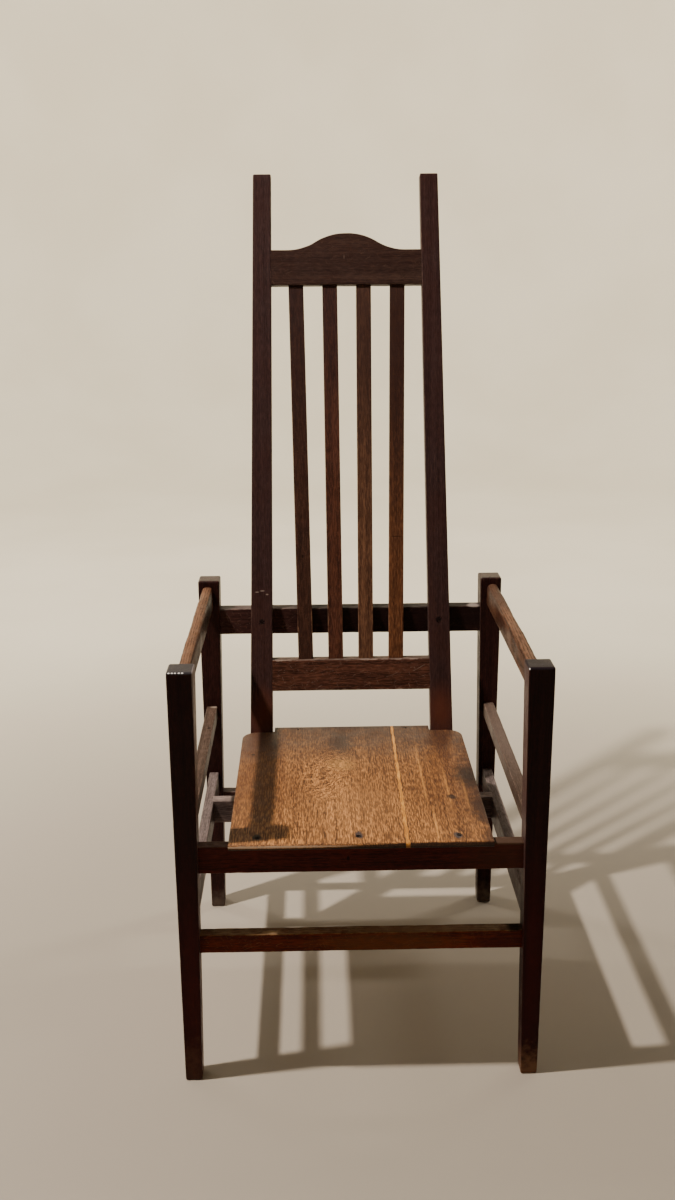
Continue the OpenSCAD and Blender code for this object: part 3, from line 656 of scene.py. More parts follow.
LEG_FINISH = oak(
    "leg oak", (17, 6, 7), (40, 15, 14), patch_amount=0.3, worn=(60, 30, 26), wear=0.35, dust=0.05,
    dust_and_sheen_colour=(94, 72, 68), varnish=0.08, side_sheen=0.7, marks=(
        # painted light: a redder tone low on both legs' fronts, where light falls low on them
        ((270, -350, 200), (40, 40, 360), (56, 7, 6), 0.92, 0.9, 0.2),
        ((-270, -350, 160), (40, 40, 340), (66, 14, 10), 0.75, 0.9, 0.2),
        # dark grey tops, a painted reflection of their glossy varnish
        ((267, -347, 706), (50, 50, 5), (34, 27, 33), 0.85, 0.4, 0.3),
        ((-267, -347, 706), (50, 50, 5), (56, 54, 58), 0.65, 0.4, 0.3),
        # painted highlights along the left top's front arris and at the right top's corner
        *(((x, -366.4, 704.9), (2.1, 1.3, 1.2), (238, 234, 232), 0.95, 0.5, 0.5)
          for x in (-282.5, -277.5, -273, -267.5, -262.5)),
        ((248.5, -365.5, 703.5), (1.3, 2.4, 2.0), (236, 230, 228), 0.9, 0.5, 0.6),
        # a pale grey painted sheen on the left leg's inner face, and painted shade low on the right one's
        ((-246.5, -350, 600), (4, 40, 280), (150, 138, 137), 0.6, 0.3, 0.2),
        ((251, -350, 160), (14, 50, 300), (26, 6, 5), 0.85, 0.5, 0.2),
        # rubbed feet
        ((-272, -360, 0), (50, 50, 100), (92, 64, 48), 0.34, 0.9, 1.6),
        ((272, -360, 0), (50, 50, 65), (112, 80, 58), 0.75, 0.9, 1.4)))
REAR_LEG_FINISH = oak(
    "rear leg oak", (27, 11, 12), (60, 31, 29), patch_amount=0.3, worn=(92, 66, 56), wear=0.45, dust=0.15,
    dust_and_sheen_colour=(84, 76, 72), varnish=0.35, side_sheen=0.25, marks=(
        # scuffed feet and a white speck on the right leg's top
        ((-270, 160, 0), (60, 60, 50), (150, 138, 124), 0.22, 0.9, 1.4),
        ((270, 160, 0), (60, 60, 50), (150, 138, 124), 0.22, 0.9, 1.4),
        ((253, 155, 694), (1.6, 3, 1.6), (214, 206, 196), 0.9, 0.4, 0.4)))
FRONT_RAIL_FINISH = oak(
    "front rail oak", (40, 8, 5), (86, 27, 16), dust=0.7, dust_and_sheen_colour=(134, 108, 96), wear=0.4,
    worn=(96, 50, 34), marks=(
        # a nick in the middle, and the browner right end
        ((-20, -354, 392), (2.6, 6, 5), (14, 6, 5), 0.85, 0.6, 1.0),
        ((240, -354, 390), (130, 30, 60), (58, 34, 25), 0.6, 0.8, 0.3),
        ((235, -345, 414), (40, 30, 4), (66, 50, 38), 0.7, 0.4, 0.4)))
STRETCHER_FINISH = oak(
    "front stretcher oak", (50, 13, 6), (116, 44, 20), dust=0.8, dust_and_sheen_colour=(154, 130, 98),
    worn=(156, 118, 76), wear=0.7, marks=(
        # browner front and paler top, painted shadow at the right end of the front and of the top, and a
        # pale streak on the top at the left
        ((40, -354, 242), (150, 20, 24), (88, 56, 28), 0.55, 0.6, 0.6),
        ((100, -345, 262), (150, 30, 5), (136, 106, 78), 0.65, 0.6, 0.6),
        ((225, -354, 240), (70, 20, 24), (40, 14, 11), 0.6, 0.8, 0.5),
        ((245, -345, 262), (18, 30, 6), (16, 8, 7), 0.85, 0.5, 0.6),
        ((-143, -347, 260), (19, 6, 3), (190, 156, 116), 0.6, 0.8, 1.0)))
STILE_SCREWS = ((-167.5, 141, 622), (166.9, 141, 622))
BACK_FINISH = oak(
    "back oak", (33, 20, 21), (62, 43, 42), worn=(90, 68, 60), wear=0.5, shine=0.1, patch=(54, 26, 20),
    patch_amount=0.4, side_sheen=0.2, dust_and_sheen_colour=(96, 84, 80), marks=(
        # painted shade round the screws, as in sunken holes; paler, redder patches painted at the stiles'
        # feet to lift their shade; and a scratched arc on the left stile
        *((place, (7, 9, 7), (15, 9, 9), 0.85, 0.5, 0.4) for place in STILE_SCREWS),
        *(((x, 110, 450), (40, 90, 70), (92, 48, 34), 0.65, 0.9, 0.2) for x in (-168, 168)),
        ((-176, 155, 676.5), (5, 4, 0.9), (168, 150, 140), 0.7, 0.6, 0.4),
        ((-166, 155.5, 678.5), (6, 4, 0.9), (168, 150, 140), 0.7, 0.6, 0.4),
        ((-157, 153, 672), (3.5, 4, 2.0), (150, 130, 120), 0.6, 0.7, 0.4)))
CREST_FINISH = oak(
    "crest oak", (34, 21, 19), (68, 49, 42), worn=(96, 74, 62), wear=0.4, shine=0.1, patch=(40, 20, 18),
    marks=(((-4.3, 308.5, 1283), (0.7, 4, 6), (120, 100, 90), 0.55, 0.6, 0.3),))
SLAT_MARKS = (
    # smoky stain at the top and on the right, a knot in slat 1 and a dark line on slat 4
    ((0, 300, 1280), (400, 400, 500), (40, 28, 30), 0.6, 0.9, 0.1),
    ((80, 240, 1100), (110, 400, 460), (44, 27, 24), 0.75, 0.9, 0.3),
    ((-89.3, 175, 739.7), (2.6, 9, 4), (20, 10, 8), 0.85, 0.6, 0.4),
    ((88, 184, 774.3), (14, 9, 1.6), (24, 12, 9), 0.7, 0.6, 0.2))
SLAT_TONES = (
    ((37, 21, 18), (72, 46, 36)), ((42, 22, 18), (94, 56, 42)), ((64, 42, 32), (124, 86, 64)),
    ((52, 30, 20), (112, 70, 46)))
SLAT_FINISHES = [
    oak(f"slat {i + 1} oak", *tones, worn=(136, 100, 76), wear=0.6, flecks=0.6, shine=0.1,
        patch=(34, 17, 12), marks=SLAT_MARKS)
    for i, tones in enumerate(SLAT_TONES)]
LOWER_BACK_FINISH = oak(
    "lower back oak", (38, 20, 15), (100, 62, 48), flecks=0.5, worn=(150, 130, 118), wear=0.75,
    reach=2.2 * MM, dust=0.5, dust_and_sheen_colour=(112, 101, 92), shine=0.1)
UPPER_REAR_FINISH = oak(
    "upper rear rail oak", (45, 25, 24), (76, 48, 45), streaks=0.3, dust=0.5, dust_and_sheen_colour=(122, 108, 102),
    worn=(158, 132, 116), wear=0.5, marks=(
        # painted shadow of the back on the front and top between the stiles, a pale chip on the right, and
        # painted shadow on the top at the left end
        ((100, 180, 620), (250, 60, 60), (16, 7, 8), 0.75, 0.3, 0.3),
        ((20, 180, 641), (170, 50, 4), (40, 34, 33), 0.6, 0.3, 0.6),
        ((236, 170, 641), (14, 20, 3), (160, 146, 138), 0.6, 0.5, 0.8),
        ((-246, 171, 641), (24, 30, 3), (72, 64, 61), 0.7, 0.25, 0.6)))
ARM_FINISH = oak(
    "arm oak", (34, 17, 12), (116, 76, 54), ring=4.2 * MM, figure=1.0, flecks=0.5, pores=0.8,
    fineness=0.75, patch=(44, 26, 19), worn=(134, 98, 72), wear=0.2, dust=0.6, dust_and_sheen_colour=(136, 100, 76),
    marks=(
        # painted shadow on the right arm's rear, painted shade on both inner faces, and a stain at the
        # right arm's front
        ((270, 110, 690), (50, 140, 30), (64, 46, 38), 0.6, 0.35, 0.4),
        ((259, -20, 666), (5, 90, 20), (46, 21, 13), 0.8, 0.6, 0.5),
        ((-259, 60, 666), (5, 120, 20), (34, 19, 12), 0.7, 0.4, 0.5),
        ((268, -166, 687), (5, 18, 9), (60, 34, 24), 0.6, 0.7, 1.2)))
SEAT_SIDE_FINISH = oak(
    "seat side rail oak", (46, 30, 23), (92, 68, 56), patch=(34, 21, 17), dust=0.6,
    dust_and_sheen_colour=(98, 80, 69), worn=(126, 106, 94), wear=0.6, side_sheen=0.2, marks=(
        # a dark spot and a pale one on the left rail, and the paler right rail
        ((-267, 52.7, 444), (4, 5, 4), (20, 13, 11), 0.85, 0.6, 0.8),
        ((-262, 158, 444), (14, 7, 5), (176, 156, 140), 0.6, 0.6, 0.8),
        ((270, 20, 440), (30, 300, 30), (112, 96, 88), 0.5, 0.9, 0.6)))
LOW_SIDE_FINISH = oak(
    "side stretcher oak", (46, 36, 35), (94, 78, 75), patch=(36, 26, 24), dust=0.8,
    dust_and_sheen_colour=(128, 113, 109), worn=(136, 120, 114), wear=0.5)
CROSS_FINISH = oak(
    "cross rail oak", (56, 45, 44), (110, 94, 92), patch=(44, 33, 30), dust=0.9,
    dust_and_sheen_colour=(148, 130, 123), worn=(150, 132, 124), wear=0.5)
HIDDEN_RAIL_FINISH = oak(
    "seat support oak", (50, 31, 21), (98, 66, 46), worn=(140, 110, 84), wear=0.4, shine=0.12)


def on_seat(x, y, half_x, half_y):
    """Centre and half-sizes of a place on the seat, from its middle and the front legs' face."""
    return (x, FRONT_FACE_Y / MM + y, SEAT_TOP_Z / MM), (half_x, half_y, 1000)


def seat_mark(x, y, half_x, half_y, colour, strength, softness=0.85, ragged=0.9):
    return *on_seat(x, y, half_x, half_y), colour, strength, softness, ragged


def nose_mark(x, down, half_x, half_z, *look):
    """A mark on the seat's front edge, so far down from its top."""
    return (x, SEAT_FRONT_Y / MM, SEAT_TOP_Z / MM - down), (half_x, 6, half_z), *look


DARK_OAK = (50, 32, 25)
GOLDEN_OAK = (220, 154, 84)
SEAT_MARKS = [seat_mark(*row) for row in (
    # the lighter middle, the darker sides and rear, the left side darker partly by its own tone and partly
    # by painted shade that deepens the arm's shadow, and the light of the swirl
    (-10, 130, 130, 170, (210, 156, 104), 0.12, 1.0, 0.5),
    (-208, 250, 150, 400, (92, 56, 35), 0.62, 0.9, 0.5),
    (208, 250, 140, 380, (82, 47, 30), 0.68, 0.9, 0.5),
    (0, 484, 480, 250, (66, 44, 34), 0.9, 0.9, 0.5),
    (-25, 292, 40, 40, (210, 156, 88), 0.3, 1.0, 1.4),
    # stains at the rear and a brown spot beside the slip
    (-22, 386, 34, 78, DARK_OAK, 0.85),
    (-190, 392, 80, 100, (84, 60, 50), 0.7),
    (160, 410, 110, 90, (66, 42, 32), 0.6, 0.9),
    (93, 190, 18, 16, (84, 52, 32), 0.6, 0.9, 1.2),
    # golden streaks in the right board
    (113.5, 250, 3, 160, GOLDEN_OAK, 0.55, 0.9, 1.3),
    (120.5, 55, 3.4, 84, GOLDEN_OAK, 0.65, 0.9, 1.2),
    (152.5, 195, 3, 105, GOLDEN_OAK, 0.45, 0.9, 1.3),
    (181, 170, 3, 90, GOLDEN_OAK, 0.45, 0.9, 1.3),
    # the knot, and the stains along the right side and the rear
    (157, 157, 11, 12, (44, 29, 26), 0.9, 0.6),
    (212, 200, 50, 230, (56, 34, 26), 0.75, 0.8),
    (196, 240, 40, 62, (36, 23, 19), 0.85, 0.8),
    (204, 112, 34, 84, (50, 30, 24), 0.75, 0.8),
    (204, 12, 26, 46, (58, 31, 22), 0.75, 0.8),
    (0, 474, 320, 26, (54, 38, 32), 0.9, 0.7),
    (-182, 340, 5, 4, (34, 22, 18), 0.9, 0.5),
    # iron stain round the screws
    (151, 23, 8, 12, (60, 58, 62), 0.85, 0.5, 1.0),
    (-3, 27, 8, 15, (50, 48, 54), 0.9, 0.5, 1.0),
    (-161.5, 25, 8, 12, (22, 14, 13), 0.9, 0.4, 0.6))]
SEAT_MARKS += [nose_mark(*row) for row in (
    # along the front edge: painted shade at its foot and over the right side's front face, and a painted
    # highlight on the left half's nose
    (0, 10, 500, 4, (26, 13, 10), 0.92, 0.3, 0.2),
    (130, 7, 200, 7.5, (30, 15, 11), 0.9, 0.3, 0.3),
    (-130, 4, 140, 2.2, (214, 188, 166), 0.64, 0.4, 0.8))]
SEAT_FINISH = oak(
    "seat oak", (74, 42, 21), (214, 149, 89), ring=3.6 * MM, wander=0.012, figure=0.3, flecks=1.0,
    streaks=0.3, pores=0.7, patch=(88, 52, 30), patch_amount=0.4, patch_size=0.08, gloss=0.42,
    shine=0.25, worn=(66, 40, 27), wear=0.8, reach=1.8 * MM, marks=SEAT_MARKS, scratches=0.2,
    swells=((*on_seat(-38, 300, 46, 86), 26), (*on_seat(-58, 232, 50, 96), 24)))
SLIP_FINISH = oak(
    "slip oak", (166, 104, 46), (228, 164, 86), pores=0.35, flecks=0.6, fineness=0.7, patch_amount=0.1,
    patch=(150, 96, 52), worn=(120, 78, 42), wear=0.6, reach=0.8 * MM, shine=0.15, gloss=0.45,
    # painted shade on the slip's front edge, as on the boards'
    marks=(nose_mark(71.5, 10, 20, 7, (96, 62, 38), 0.7, 0.4, 0.4),))
# on the stile screws' heads: painted shade over all but a bright crescent at the lower right, as if the
# heads were sunk
SCREW_FINISH = steel(
    "screw steel", (214, 208, 200), (190, 182, 174), 0.5, 0.3,
    [((x - 1.3, y, z + 1.1), (3.9, 9, 3.9), (14, 10, 10), 0.95, 0.2, 0.1) for x, y, z in STILE_SCREWS])
SEAT_SCREW_FINISH = steel(
    "seat screw steel", (120, 122, 128), (44, 42, 46), 0.45, 0.8,
    [seat_mark(-161, 23.5, 9, 9, (16, 12, 12), 0.95, 0.2, 0.1)])
NAIL_FINISH = steel("nail steel", (196, 190, 182), (110, 100, 92), 0.32, 0.3)


# Legs

END_WEAR = 1.6 * MM
END_WEAR_H = 14 * MM
LEG_EASE = 3.2 * MM
SPLIT_IN = 18 * MM
SPLIT_L = 22 * MM
SPLIT_DEEP = 9 * MM


def leg(node, material, heart, seed, cutters=()):
    """A square post: its outer and its front or rear face are flat, and the two inner ones taper
    in a straight line towards the foot. The arrises are more rounded at both ends."""
    rng = np.random.default_rng(seed)
    low, high = corners(node)
    at_left, at_front = low[:2] < 0

    def faces(z):
        narrower, shallower = (taper * (1 - z / high[2]) for taper in (LEG_TAPER_W, LEG_TAPER_D))
        return (low[0] + (not at_left) * narrower, high[0] - at_left * narrower,
                low[1] + (not at_front) * shallower, high[1] - at_front * shallower)

    places, insets = stations(low[2], high[2], LEG_EASE, LEG_EASE)
    soft = END_WEAR * (np.exp(-places / END_WEAR_H) + np.exp((places - high[2]) / END_WEAR_H))
    radii = worn_arrises(places, rng, 7) + soft[:, None]
    timber(node, "post", "frame_oak", material, UPRIGHT, (places, insets), faces, radii,
           (low[2], high[2]), heart, rng, cutters=cutters)


def split_top():
    """The split down the front of the right rear leg's top: widest at the top, in a gentle wave."""
    low, high = corners("rear_leg_right")
    path = np.linspace(high[2] - SPLIT_L, high[2] + 2 * MM, 9)
    share = np.linspace(0, 1, len(path))
    front = low[1] + LEG_TAPER_D * (1 - path[0] / high[2])
    return crack_cutter(UPRIGHT, path, low[0] + SPLIT_IN, 7 * share, 0.1 * MM + 0.35 * MM * share,
                        front - 3 * MM, front + SPLIT_DEEP)


def make_legs():
    leg("front_leg_left", LEG_FINISH, (-0.06, -0.03), 11)
    leg("front_leg_right", LEG_FINISH, (0.05, -0.05), 12)
    leg("rear_leg_left", REAR_LEG_FINISH, (-0.02, 0.06), 13)
    leg("rear_leg_right", REAR_LEG_FINISH, (0.03, 0.05), 14, [split_top()])


# Rails

def rail(node, slot, material, axes, reach, heart, seed, uneven=0.0, arrises=FOUR_ARRISES):
    """A straight rail with its box's faces, from reach[0] to reach[1] along it, ends hidden in
    the posts. Uneven lets its top face sink here and there."""
    rng = np.random.default_rng(seed)
    (_, b0, c0), (_, b1, c1) = (measured(axes, corner) for corner in corners(node))
    places, insets = stations(*reach)
    dip = sunken(places, rng, uneven)
    planed = (b0, b1 - dip, c0, c1) if axes is FRONT_TO_BACK else (b0, b1, c0, c1 - dip)
    radii = worn_arrises(places, rng, 5, arrises)
    timber(node, "timber", slot, material, axes, (places, insets), lambda s: (b0, b1, c0, c1), radii,
           reach, heart, rng, planed)


def across_reach(leg_node, rail_node):
    """Both ends of a rail between a pair of legs, each tucked into its tapered leg."""
    z = sum(corners(rail_node))[2] / 2
    low, high = corners(leg_node)
    half = low[0] + LEG_TAPER_W * (1 - z / high[2]) + TUCK
    return -half, half


def side_reach(rail_node):
    """Both ends of a side rail, tucked into the tapered front and rear legs."""
    z = sum(corners(rail_node))[2] / 2
    front_leg, rear_leg = corners("front_leg_left"), corners("rear_leg_left")
    start = front_leg[1][1] - LEG_TAPER_D * (1 - z / front_leg[1][2]) - TUCK
    end = rear_leg[0][1] + LEG_TAPER_D * (1 - z / rear_leg[1][2]) + TUCK
    return start, end


# Stem of the nodes' names, slot, finish, heart's height and way in, seed, unevenness, arrises
SIDE_RAILS = (
    ("arm_rail", "worn_oak", ARM_FINISH, 0.61, 0.26, 21, 0.5 * MM, (ARM_ROUND, ARM_ROUND, ARRIS, ARRIS)),
    ("seat_side_rail", "worn_oak", SEAT_SIDE_FINISH, 0.38, 0.30, 31, 0.4 * MM, FOUR_ARRISES),
    ("side_stretcher", "frame_oak", LOW_SIDE_FINISH, 0.22, 0.24, 41, 0.4 * MM, FOUR_ARRISES))
# Node, the leg that holds it, finish, heart, seed, unevenness
CROSSWAYS_RAILS = (
    ("front_seat_rail", "front_leg_right", FRONT_RAIL_FINISH, (-0.31, 0.35), 41, 0.3 * MM),
    ("front_stretcher", "front_leg_right", STRETCHER_FINISH, (-0.30, 0.20), 42, 0.5 * MM),
    ("upper_rear_rail", "rear_leg_right", UPPER_REAR_FINISH, (0.22, 0.58), 43, 0.4 * MM),
    ("rear_stretcher", "rear_leg_right", UPPER_REAR_FINISH, (0.21, 0.21), 44, 0.4 * MM))


def make_rails():
    for side, way, more in (("left", 1, 0), ("right", -1, 1)):
        for stem, slot, material, heart_z, heart_in, seed, uneven, arrises in SIDE_RAILS:
            node = f"{stem}_{side}"
            rail(node, slot, material, FRONT_TO_BACK, side_reach(node), (heart_z, heart_in * way),
                 seed + more, uneven, arrises)
    for node, leg_node, material, heart, seed, uneven in CROSSWAYS_RAILS:
        rail(node, "frame_oak", material, SIDEWAYS, across_reach(leg_node, node), heart, seed, uneven)
    half = corners("side_stretcher_right")[0][0] + TUCK
    rail("cross_rail", "frame_oak", CROSS_FINISH, SIDEWAYS, (-half, half), (0.08, 0.24), 45)
    reach = between_stiles(corners("seat_support_rail")[1][2])
    rail("seat_support_rail", "frame_oak", HIDDEN_RAIL_FINISH, SIDEWAYS, reach, (0.12, 0.36), 46)


# The leaning back

STILE_TOP_EASE = 3 * MM
FOOT_CUT_FADES = 60 * MM
SLAT_ARRIS = 0.9 * MM
# Rubbing of the lower back rail's top arris: its radius, how many knocks, and the deepest
RUBBED_ARRIS, RUBBED_KNOCKS, RUBBED_DEEPEST = 1.6 * MM, 16, 1.4 * MM
# Places along the two rails whose edges change quickly
FINE_STEP = 2 * MM
# Ends so far off that no wear shows at a piece's hidden ends
NO_ENDS = (-3, 3)


def screw_seat(axes, s, b, c):
    """The countersink for a screw head whose face lies at c, in timber that lies towards growing c."""
    grown = SCREW_HEAD / 2 + SCREW_GAP
    return round_cutter(axes, s, b, c, grown / 2, grown, SCREW_HEAD_H)


def stile(side, node, seed):
    """A tapered stile: its edges are straight lines in the leaning plane. The foot is cut level,
    which moves a point at depth c up the stile by c * tan(lean), less and less up to the seat."""
    rng = np.random.default_rng(seed)

    def faces(s):
        inner, outer = (side * edge for edge in stile_edges(s * math.cos(LEAN)))
        return (inner, outer, 0.0, STILE_T) if side > 0 else (outer, inner, 0.0, STILE_T)

    ends = up(FOOT_Z), up(BACK_TOP_Z)
    places, insets = stations(*ends, 0.0, STILE_TOP_EASE)
    level = np.clip(1 - (places - ends[0]) / FOOT_CUT_FADES, 0, 1) * math.tan(LEAN)
    radii = worn_arrises(places, rng, 8)
    middle_high, middle_low = (side * sum(stile_edges(z)) / 2 for z in (STILE_SCREW_Z, FOOT_SCREW_Z))
    from_behind = (BACK_ORIGIN, UP_BACK, -X_AXIS, -BEHIND_BACK)
    cutters = [screw_seat(UP_THE_BACK, up(STILE_SCREW_Z), middle_high, 0.0),
               screw_seat(from_behind, up(FOOT_SCREW_Z), -middle_low, -STILE_T)]
    timber(node, "upright", "frame_oak", BACK_FINISH, UP_THE_BACK, (places, insets), faces, radii,
           ends, (side * 0.1, 0.05), rng, cutters=cutters, slant=level)


def arch(x):
    """Height of the crest's arch over its straight top: flat in the middle, then a round curve
    down and a hollow one out, two arcs of one radius that meet half-way."""
    run = (ARCH_W - ARCH_FLAT) / 2
    radius = (run ** 2 + ARCH_H ** 2) / (4 * ARCH_H)
    away = np.clip(np.abs(x) - ARCH_FLAT / 2, 0, run)
    round_part = ARCH_H - radius + np.sqrt(radius ** 2 - np.minimum(away, run / 2) ** 2)
    hollow_part = radius - np.sqrt(radius ** 2 - np.minimum(run - away, run / 2) ** 2)
    return np.where(away < run / 2, round_part, hollow_part)


def crest_rail():
    """The top rail between the stiles, with the arch on its upper edge."""
    rng = np.random.default_rng(61)

    def faces(s):
        return RAIL_SET, RAIL_SET + RAIL_T, up(CREST_LOW_Z), up(CREST_LOW_Z + CREST_H) + arch(s)

    places, insets = stations(*between_stiles(CREST_LOW_Z + CREST_H / 2), step=FINE_STEP)
    radii = worn_arrises(places, rng, 5)
    timber("crest_rail", "arched", "frame_oak", CREST_FINISH, ACROSS_THE_BACK, (places, insets), faces,
           radii, NO_ENDS, (-0.04, 1.22), rng)


def lower_back_rail():
    """The rail under the slats. Its top is planed level, and its top arris is rubbed unevenly."""
    rng = np.random.default_rng(62)

    def faces(s):
        low, top = up(LOWER_BACK_TOP_Z - LOWER_BACK_H), up(LOWER_BACK_TOP_Z)
        return RAIL_SET, RAIL_SET + RAIL_T, low, top

    places, insets = stations(*between_stiles(LOWER_BACK_TOP_Z - LOWER_BACK_H / 2), step=FINE_STEP)
    b0, b1, c0, c1 = faces(places)
    front_top = worn_arris(places, rng, RUBBED_ARRIS, RUBBED_KNOCKS, RUBBED_DEEPEST)
    radii = np.insert(worn_arrises(places, rng, 5, (ARRIS,) * 3), 2, front_top, axis=1)
    planed = b0, b1, c0, c1 - sunken(places, rng, 0.5 * MM)
    timber("lower_back_rail", "timber", "slat_oak", LOWER_BACK_FINISH, ACROSS_THE_BACK,
           (places, insets), faces, radii, NO_ENDS, (-0.05, 0.53), rng, planed, rise=math.tan(LEAN))


def slat(i):
    """Slat i between the two back rails. Its middle moves outwards in a straight line upwards."""
    rng = np.random.default_rng(70 + i)
    order = i - (SLAT_COUNT + 1) / 2
    front = RAIL_SET + (RAIL_T - SLAT_T) / 2

    def faces(s):
        share = (s - up(LOWER_BACK_TOP_Z)) / up(CREST_LOW_Z - LOWER_BACK_TOP_Z)
        middle = order * (SLAT_PITCH_LOW + (SLAT_PITCH_TOP - SLAT_PITCH_LOW) * share)
        return middle - SLAT_W / 2, middle + SLAT_W / 2, front, front + SLAT_T

    places, insets = stations(up(LOWER_BACK_TOP_Z) - TUCK, up(CREST_LOW_Z) + TUCK)
    radii = worn_arrises(places, rng, 4, (SLAT_ARRIS,) * 4, 0.6 * MM)
    heart = order * SLAT_PITCH_LOW + rng.uniform(-0.04, 0.04), rng.uniform(0.03, 0.09)
    timber(f"slat_{i}", "strip", "slat_oak", SLAT_FINISHES[i - 1], UP_THE_BACK, (places, insets),
           faces, radii, NO_ENDS, heart, rng)


def make_back():
    stile(-1, "stile_left", 51)
    stile(1, "stile_right", 52)
    crest_rail()
    lower_back_rail()
    for i in range(1, SLAT_COUNT + 1):
        slat(i)


# Seat

SEAT_HALF = corners("seat_board_right")[1][0]
NOTCH_Y = front_of_back(SEAT_TOP_Z) - NOTCH_GAP
REAR_EASE = 1.2 * MM
SIDE_ARRIS = 1.4 * MM
JOINT_ARRIS = 0.35 * MM
SEAT_SPLIT_DEEP = 6 * MM


def seat_stations():
    """Places from the seat's front to its rear: close together at the round nose, at the round
    rear corners and at the rear arris, and two at the notch, where the width jumps."""
    nose = SEAT_FRONT_Y + NOSE_ROUND * (1 - np.cos(np.linspace(0.12, np.pi / 2, 9)))
    field = np.linspace(nose[-1] + 2 * MM, NOTCH_Y - SEAT_CORNER, 60)
    bend = NOTCH_Y - SEAT_CORNER * (1 - np.sin(np.linspace(0.1, np.pi / 2 - 0.02, 12)))
    tongue = np.linspace(NOTCH_Y, SEAT_REAR_Y - REAR_EASE, 6)
    rear = SEAT_REAR_Y - REAR_EASE * (1 - np.sin(QUARTER[1:]))
    beyond = np.repeat([0.0, 1.0], [len(nose) + len(field) + len(bend), len(tongue) + len(rear)])
    return np.concatenate([nose, field, bend, tongue, rear]), beyond


def outer(side):
    """A board's outer edge, from y and from the place beyond the notch: the seat's full half width,
    then round at the rear corner, then the narrower tongue."""
    def edge(y, beyond):
        into = np.clip(y - (NOTCH_Y - SEAT_CORNER), 0, SEAT_CORNER)
        rounded = SEAT_HALF - SEAT_CORNER + np.sqrt(SEAT_CORNER ** 2 - into ** 2)
        return side * np.where(beyond > 0.5, TONGUE_HALF, rounded)
    return edge


def joint(edge):
    """X of the slip's left edge (0) or right edge (1): a straight line from front to rear, and
    the waves of a hand-fitted joint: 0.6 mm * sin(2 pi y / 41 mm) + 0.3 mm * sin(2 pi y / 17 mm)."""
    def side(y, beyond):
        share = (y - SEAT_FRONT_Y) / (SEAT_REAR_Y - SEAT_FRONT_Y)
        turn = 2 * np.pi * (y + 9 * MM * edge)
        waves = 0.6 * MM * np.sin(turn / (41 * MM)) + 0.3 * MM * np.sin(turn / (17 * MM))
        return SLIP_FRONT[edge] + (SLIP_REAR[edge] - SLIP_FRONT[edge]) * share + waves
    return side


def seat_levels(y):
    """The seat's underside and top: parallel, with a quarter circle at the top and at the bottom
    of the nose and small ones at the rear arris."""
    def drop(radius, away):
        inside = np.clip(radius - away, 0, radius)
        return radius - np.sqrt(radius ** 2 - inside ** 2)
    from_front, from_rear = y - SEAT_FRONT_Y, SEAT_REAR_Y - y
    top = SEAT_TOP_Z - drop(NOSE_ROUND, from_front) - drop(REAR_EASE, from_rear)
    low = SEAT_LOW_Z + drop(NOSE_LOW_ROUND, from_front) + drop(REAR_EASE, from_rear)
    return low, top


def seat_piece(node, slot, material, left, right, arrises, seed, heart, cutters=()):
    """A board of the seat between two edges, each a function of y and of the place beyond the
    notch, with the seat's own underside and top."""
    rng = np.random.default_rng(seed)
    places, beyond = seat_stations()
    low, top = seat_levels(places)
    radii = worn_arrises(places, rng, 3, arrises, 0.5 * MM)
    radii = np.minimum(radii, (top - low)[:, None] * 0.4)
    planed = low, top, left(places, beyond), right(places, beyond)

    def faces(y):
        return SEAT_LOW_Z, SEAT_TOP_Z, left(y, y > NOTCH_Y), right(y, y > NOTCH_Y)

    timber(node, "planed", slot, material, FRONT_TO_BACK, (places, 0 * places), faces, radii,
           (SEAT_FRONT_Y, SEAT_REAR_Y), heart, rng, planed, cutters)


def seat_screw_hole(x):
    return screw_seat(DOWN_FROM_SEAT, SEAT_SCREW_Y, x, -SEAT_TOP_Z)


def nail_hole(x):
    grown = NAIL_HEAD / 2 + NAIL_GAP
    return round_cutter(DOWN_FROM_SEAT, NAIL_Y, x, -SEAT_TOP_Z, grown, grown, NAIL_HEAD_H + 0.1 * MM)


def seat_split():
    """The fine split from the left screw to the seat's front edge, narrower at the screw."""
    path = np.linspace(SEAT_FRONT_Y - 2 * MM, SEAT_SCREW_Y - 2 * MM, 8)
    bends = np.linspace(0, 5, len(path))
    half_width = np.linspace(0.28, 0.18, len(path)) * MM
    return crack_cutter(DOWN_FROM_SEAT, path, SEAT_SCREWS_X[0], bends, half_width,
                        -SEAT_TOP_Z - 2 * MM, -SEAT_TOP_Z + SEAT_SPLIT_DEEP)


def make_seat():
    seat_piece(
        "seat_board_left", "seat_oak", SEAT_FINISH, outer(-1), joint(0),
        (SIDE_ARRIS, JOINT_ARRIS, JOINT_ARRIS, SIDE_ARRIS), 81, (0.385, -0.05),
        [*map(seat_screw_hole, SEAT_SCREWS_X[:2]), nail_hole(-NAIL_X), seat_split()])
    seat_piece(
        "seat_board_right", "seat_oak", SEAT_FINISH, joint(1), outer(1),
        (JOINT_ARRIS, SIDE_ARRIS, SIDE_ARRIS, JOINT_ARRIS), 82, (0.37, 0.16),
        [seat_screw_hole(SEAT_SCREWS_X[2]), nail_hole(NAIL_X)])
    seat_piece(
        "seat_slip", "pale_slip", SLIP_FINISH, joint(0), joint(1), (JOINT_ARRIS,) * 4, 83, (0.36, 0.07))


# Fasteners keep their solids, which have the true heads and slots

def finish_fasteners():
    finishes = {"seat_screws": SEAT_SCREW_FINISH, "seat_nails": NAIL_FINISH,
                "stile_screws": SCREW_FINISH, "stile_foot_screws": SEAT_SCREW_FINISH}
    for node, material in finishes.items():
        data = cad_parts[node].data
        data.materials.clear()
        data.materials.append(material)


# Studio

FLOOR_R = 4.6
SWEEP_R = 2.2
WALL_TOP = 5.0
FLOOR_TONES = (214, 204, 184), (220, 211, 192)
FLOOR_NEAR = (168, 157, 144)


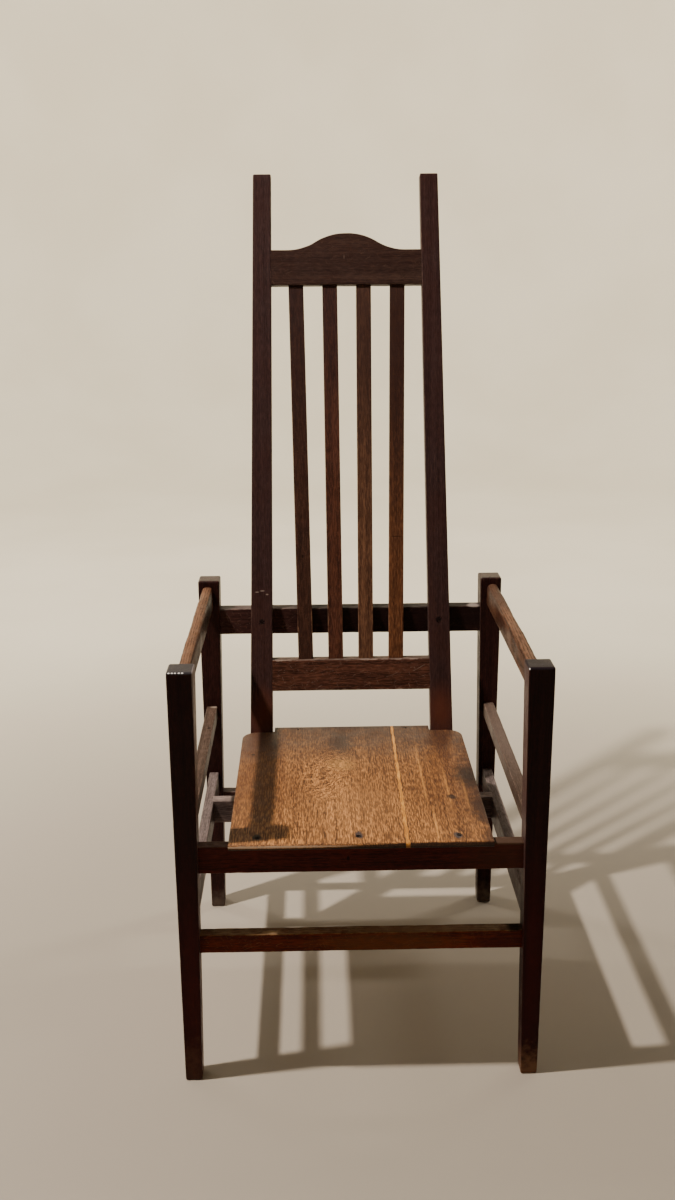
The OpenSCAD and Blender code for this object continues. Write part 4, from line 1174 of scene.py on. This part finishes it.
def studio_floor():
    """A pale floor that turns up into a round wall far behind the camera: one profile, a straight
    line, a quarter circle and a straight line, carried round the chair."""
    bend = np.linspace(0, np.pi / 2, 17)
    flat = np.array((0.02, 0.8, 1.6, 2.4, 3.2, 4.0))
    radius = np.concatenate([flat, FLOOR_R + SWEEP_R * np.sin(bend), [FLOOR_R + SWEEP_R]])
    height = np.concatenate([0 * flat, SWEEP_R * (1 - np.cos(bend)), [WALL_TOP]])
    turn = np.linspace(0, -2 * np.pi, 96, endpoint=False)
    grid = np.stack([radius[:, None] * np.cos(turn), radius[:, None] * np.sin(turn),
                     height[:, None] + 0 * turn], axis=-1)
    floor = shell("studio_floor", grid, closed=False)
    floor.data.shade_smooth()
    material, w, place = new_material("studio floor")
    colour = w.mix(w.step(w.noise(place, 1.3, 3.0), 0.3, 0.7), *map(dye, FLOOR_TONES))
    away = w.vector("LENGTH", w.vector("MULTIPLY", place, (1.0, 1.0, 0.0)))
    colour = w.mix(w.step(away, 0.5, 2.3), dye(FLOOR_NEAR), colour)
    w.surface({"Base Color": colour, "Roughness": 0.75})
    floor.data.materials.append(material)


SEAT_MIDDLE = np.array((0.0, -0.1, 0.45))
KEY_PLACE = SEAT_MIDDLE + 3.2 * np.array((-0.467, -0.138, 0.873))
# Name, place and aim of each square light, its size in metres, its power in watts and its colour
LIGHTS = (
    ("key", KEY_PLACE, SEAT_MIDDLE, 0.10, 150.0, (1.0, 0.92, 0.82)),
    ("wall wash left", (-2.4, 1.6, 3.8), (-1.2, 6.4, 1.6), 1.2, 260.0, (1.0, 0.94, 0.82)),
    ("wall wash right", (2.4, 1.6, 3.8), (1.2, 6.4, 1.6), 1.2, 260.0, (1.0, 0.94, 0.82)))
ROOM_COLOUR = (244, 238, 228)
ROOM_LIGHT = 0.13


def make_lights():
    for name, place, aim, size, power, colour in LIGHTS:
        data = bpy.data.lights.new(name, "AREA")
        data.size = size
        data.energy = power
        data.color = colour
        light = bpy.data.objects.new(name, data)
        turn = (Vector(place) - Vector(aim)).to_track_quat("Z", "Y").to_matrix().to_4x4()
        light.matrix_world = Matrix.Translation(place) @ turn
        bpy.context.scene.collection.objects.link(light)
    world = bpy.data.worlds.new("studio")
    world.use_nodes = True
    background = world.node_tree.nodes["Background"]
    background.inputs["Color"].default_value = dye(ROOM_COLOUR)
    background.inputs["Strength"].default_value = ROOM_LIGHT
    bpy.context.scene.world = world


make_camera()
studio_floor()
make_lights()
make_legs()
make_rails()
make_back()
make_seat()
finish_fasteners()
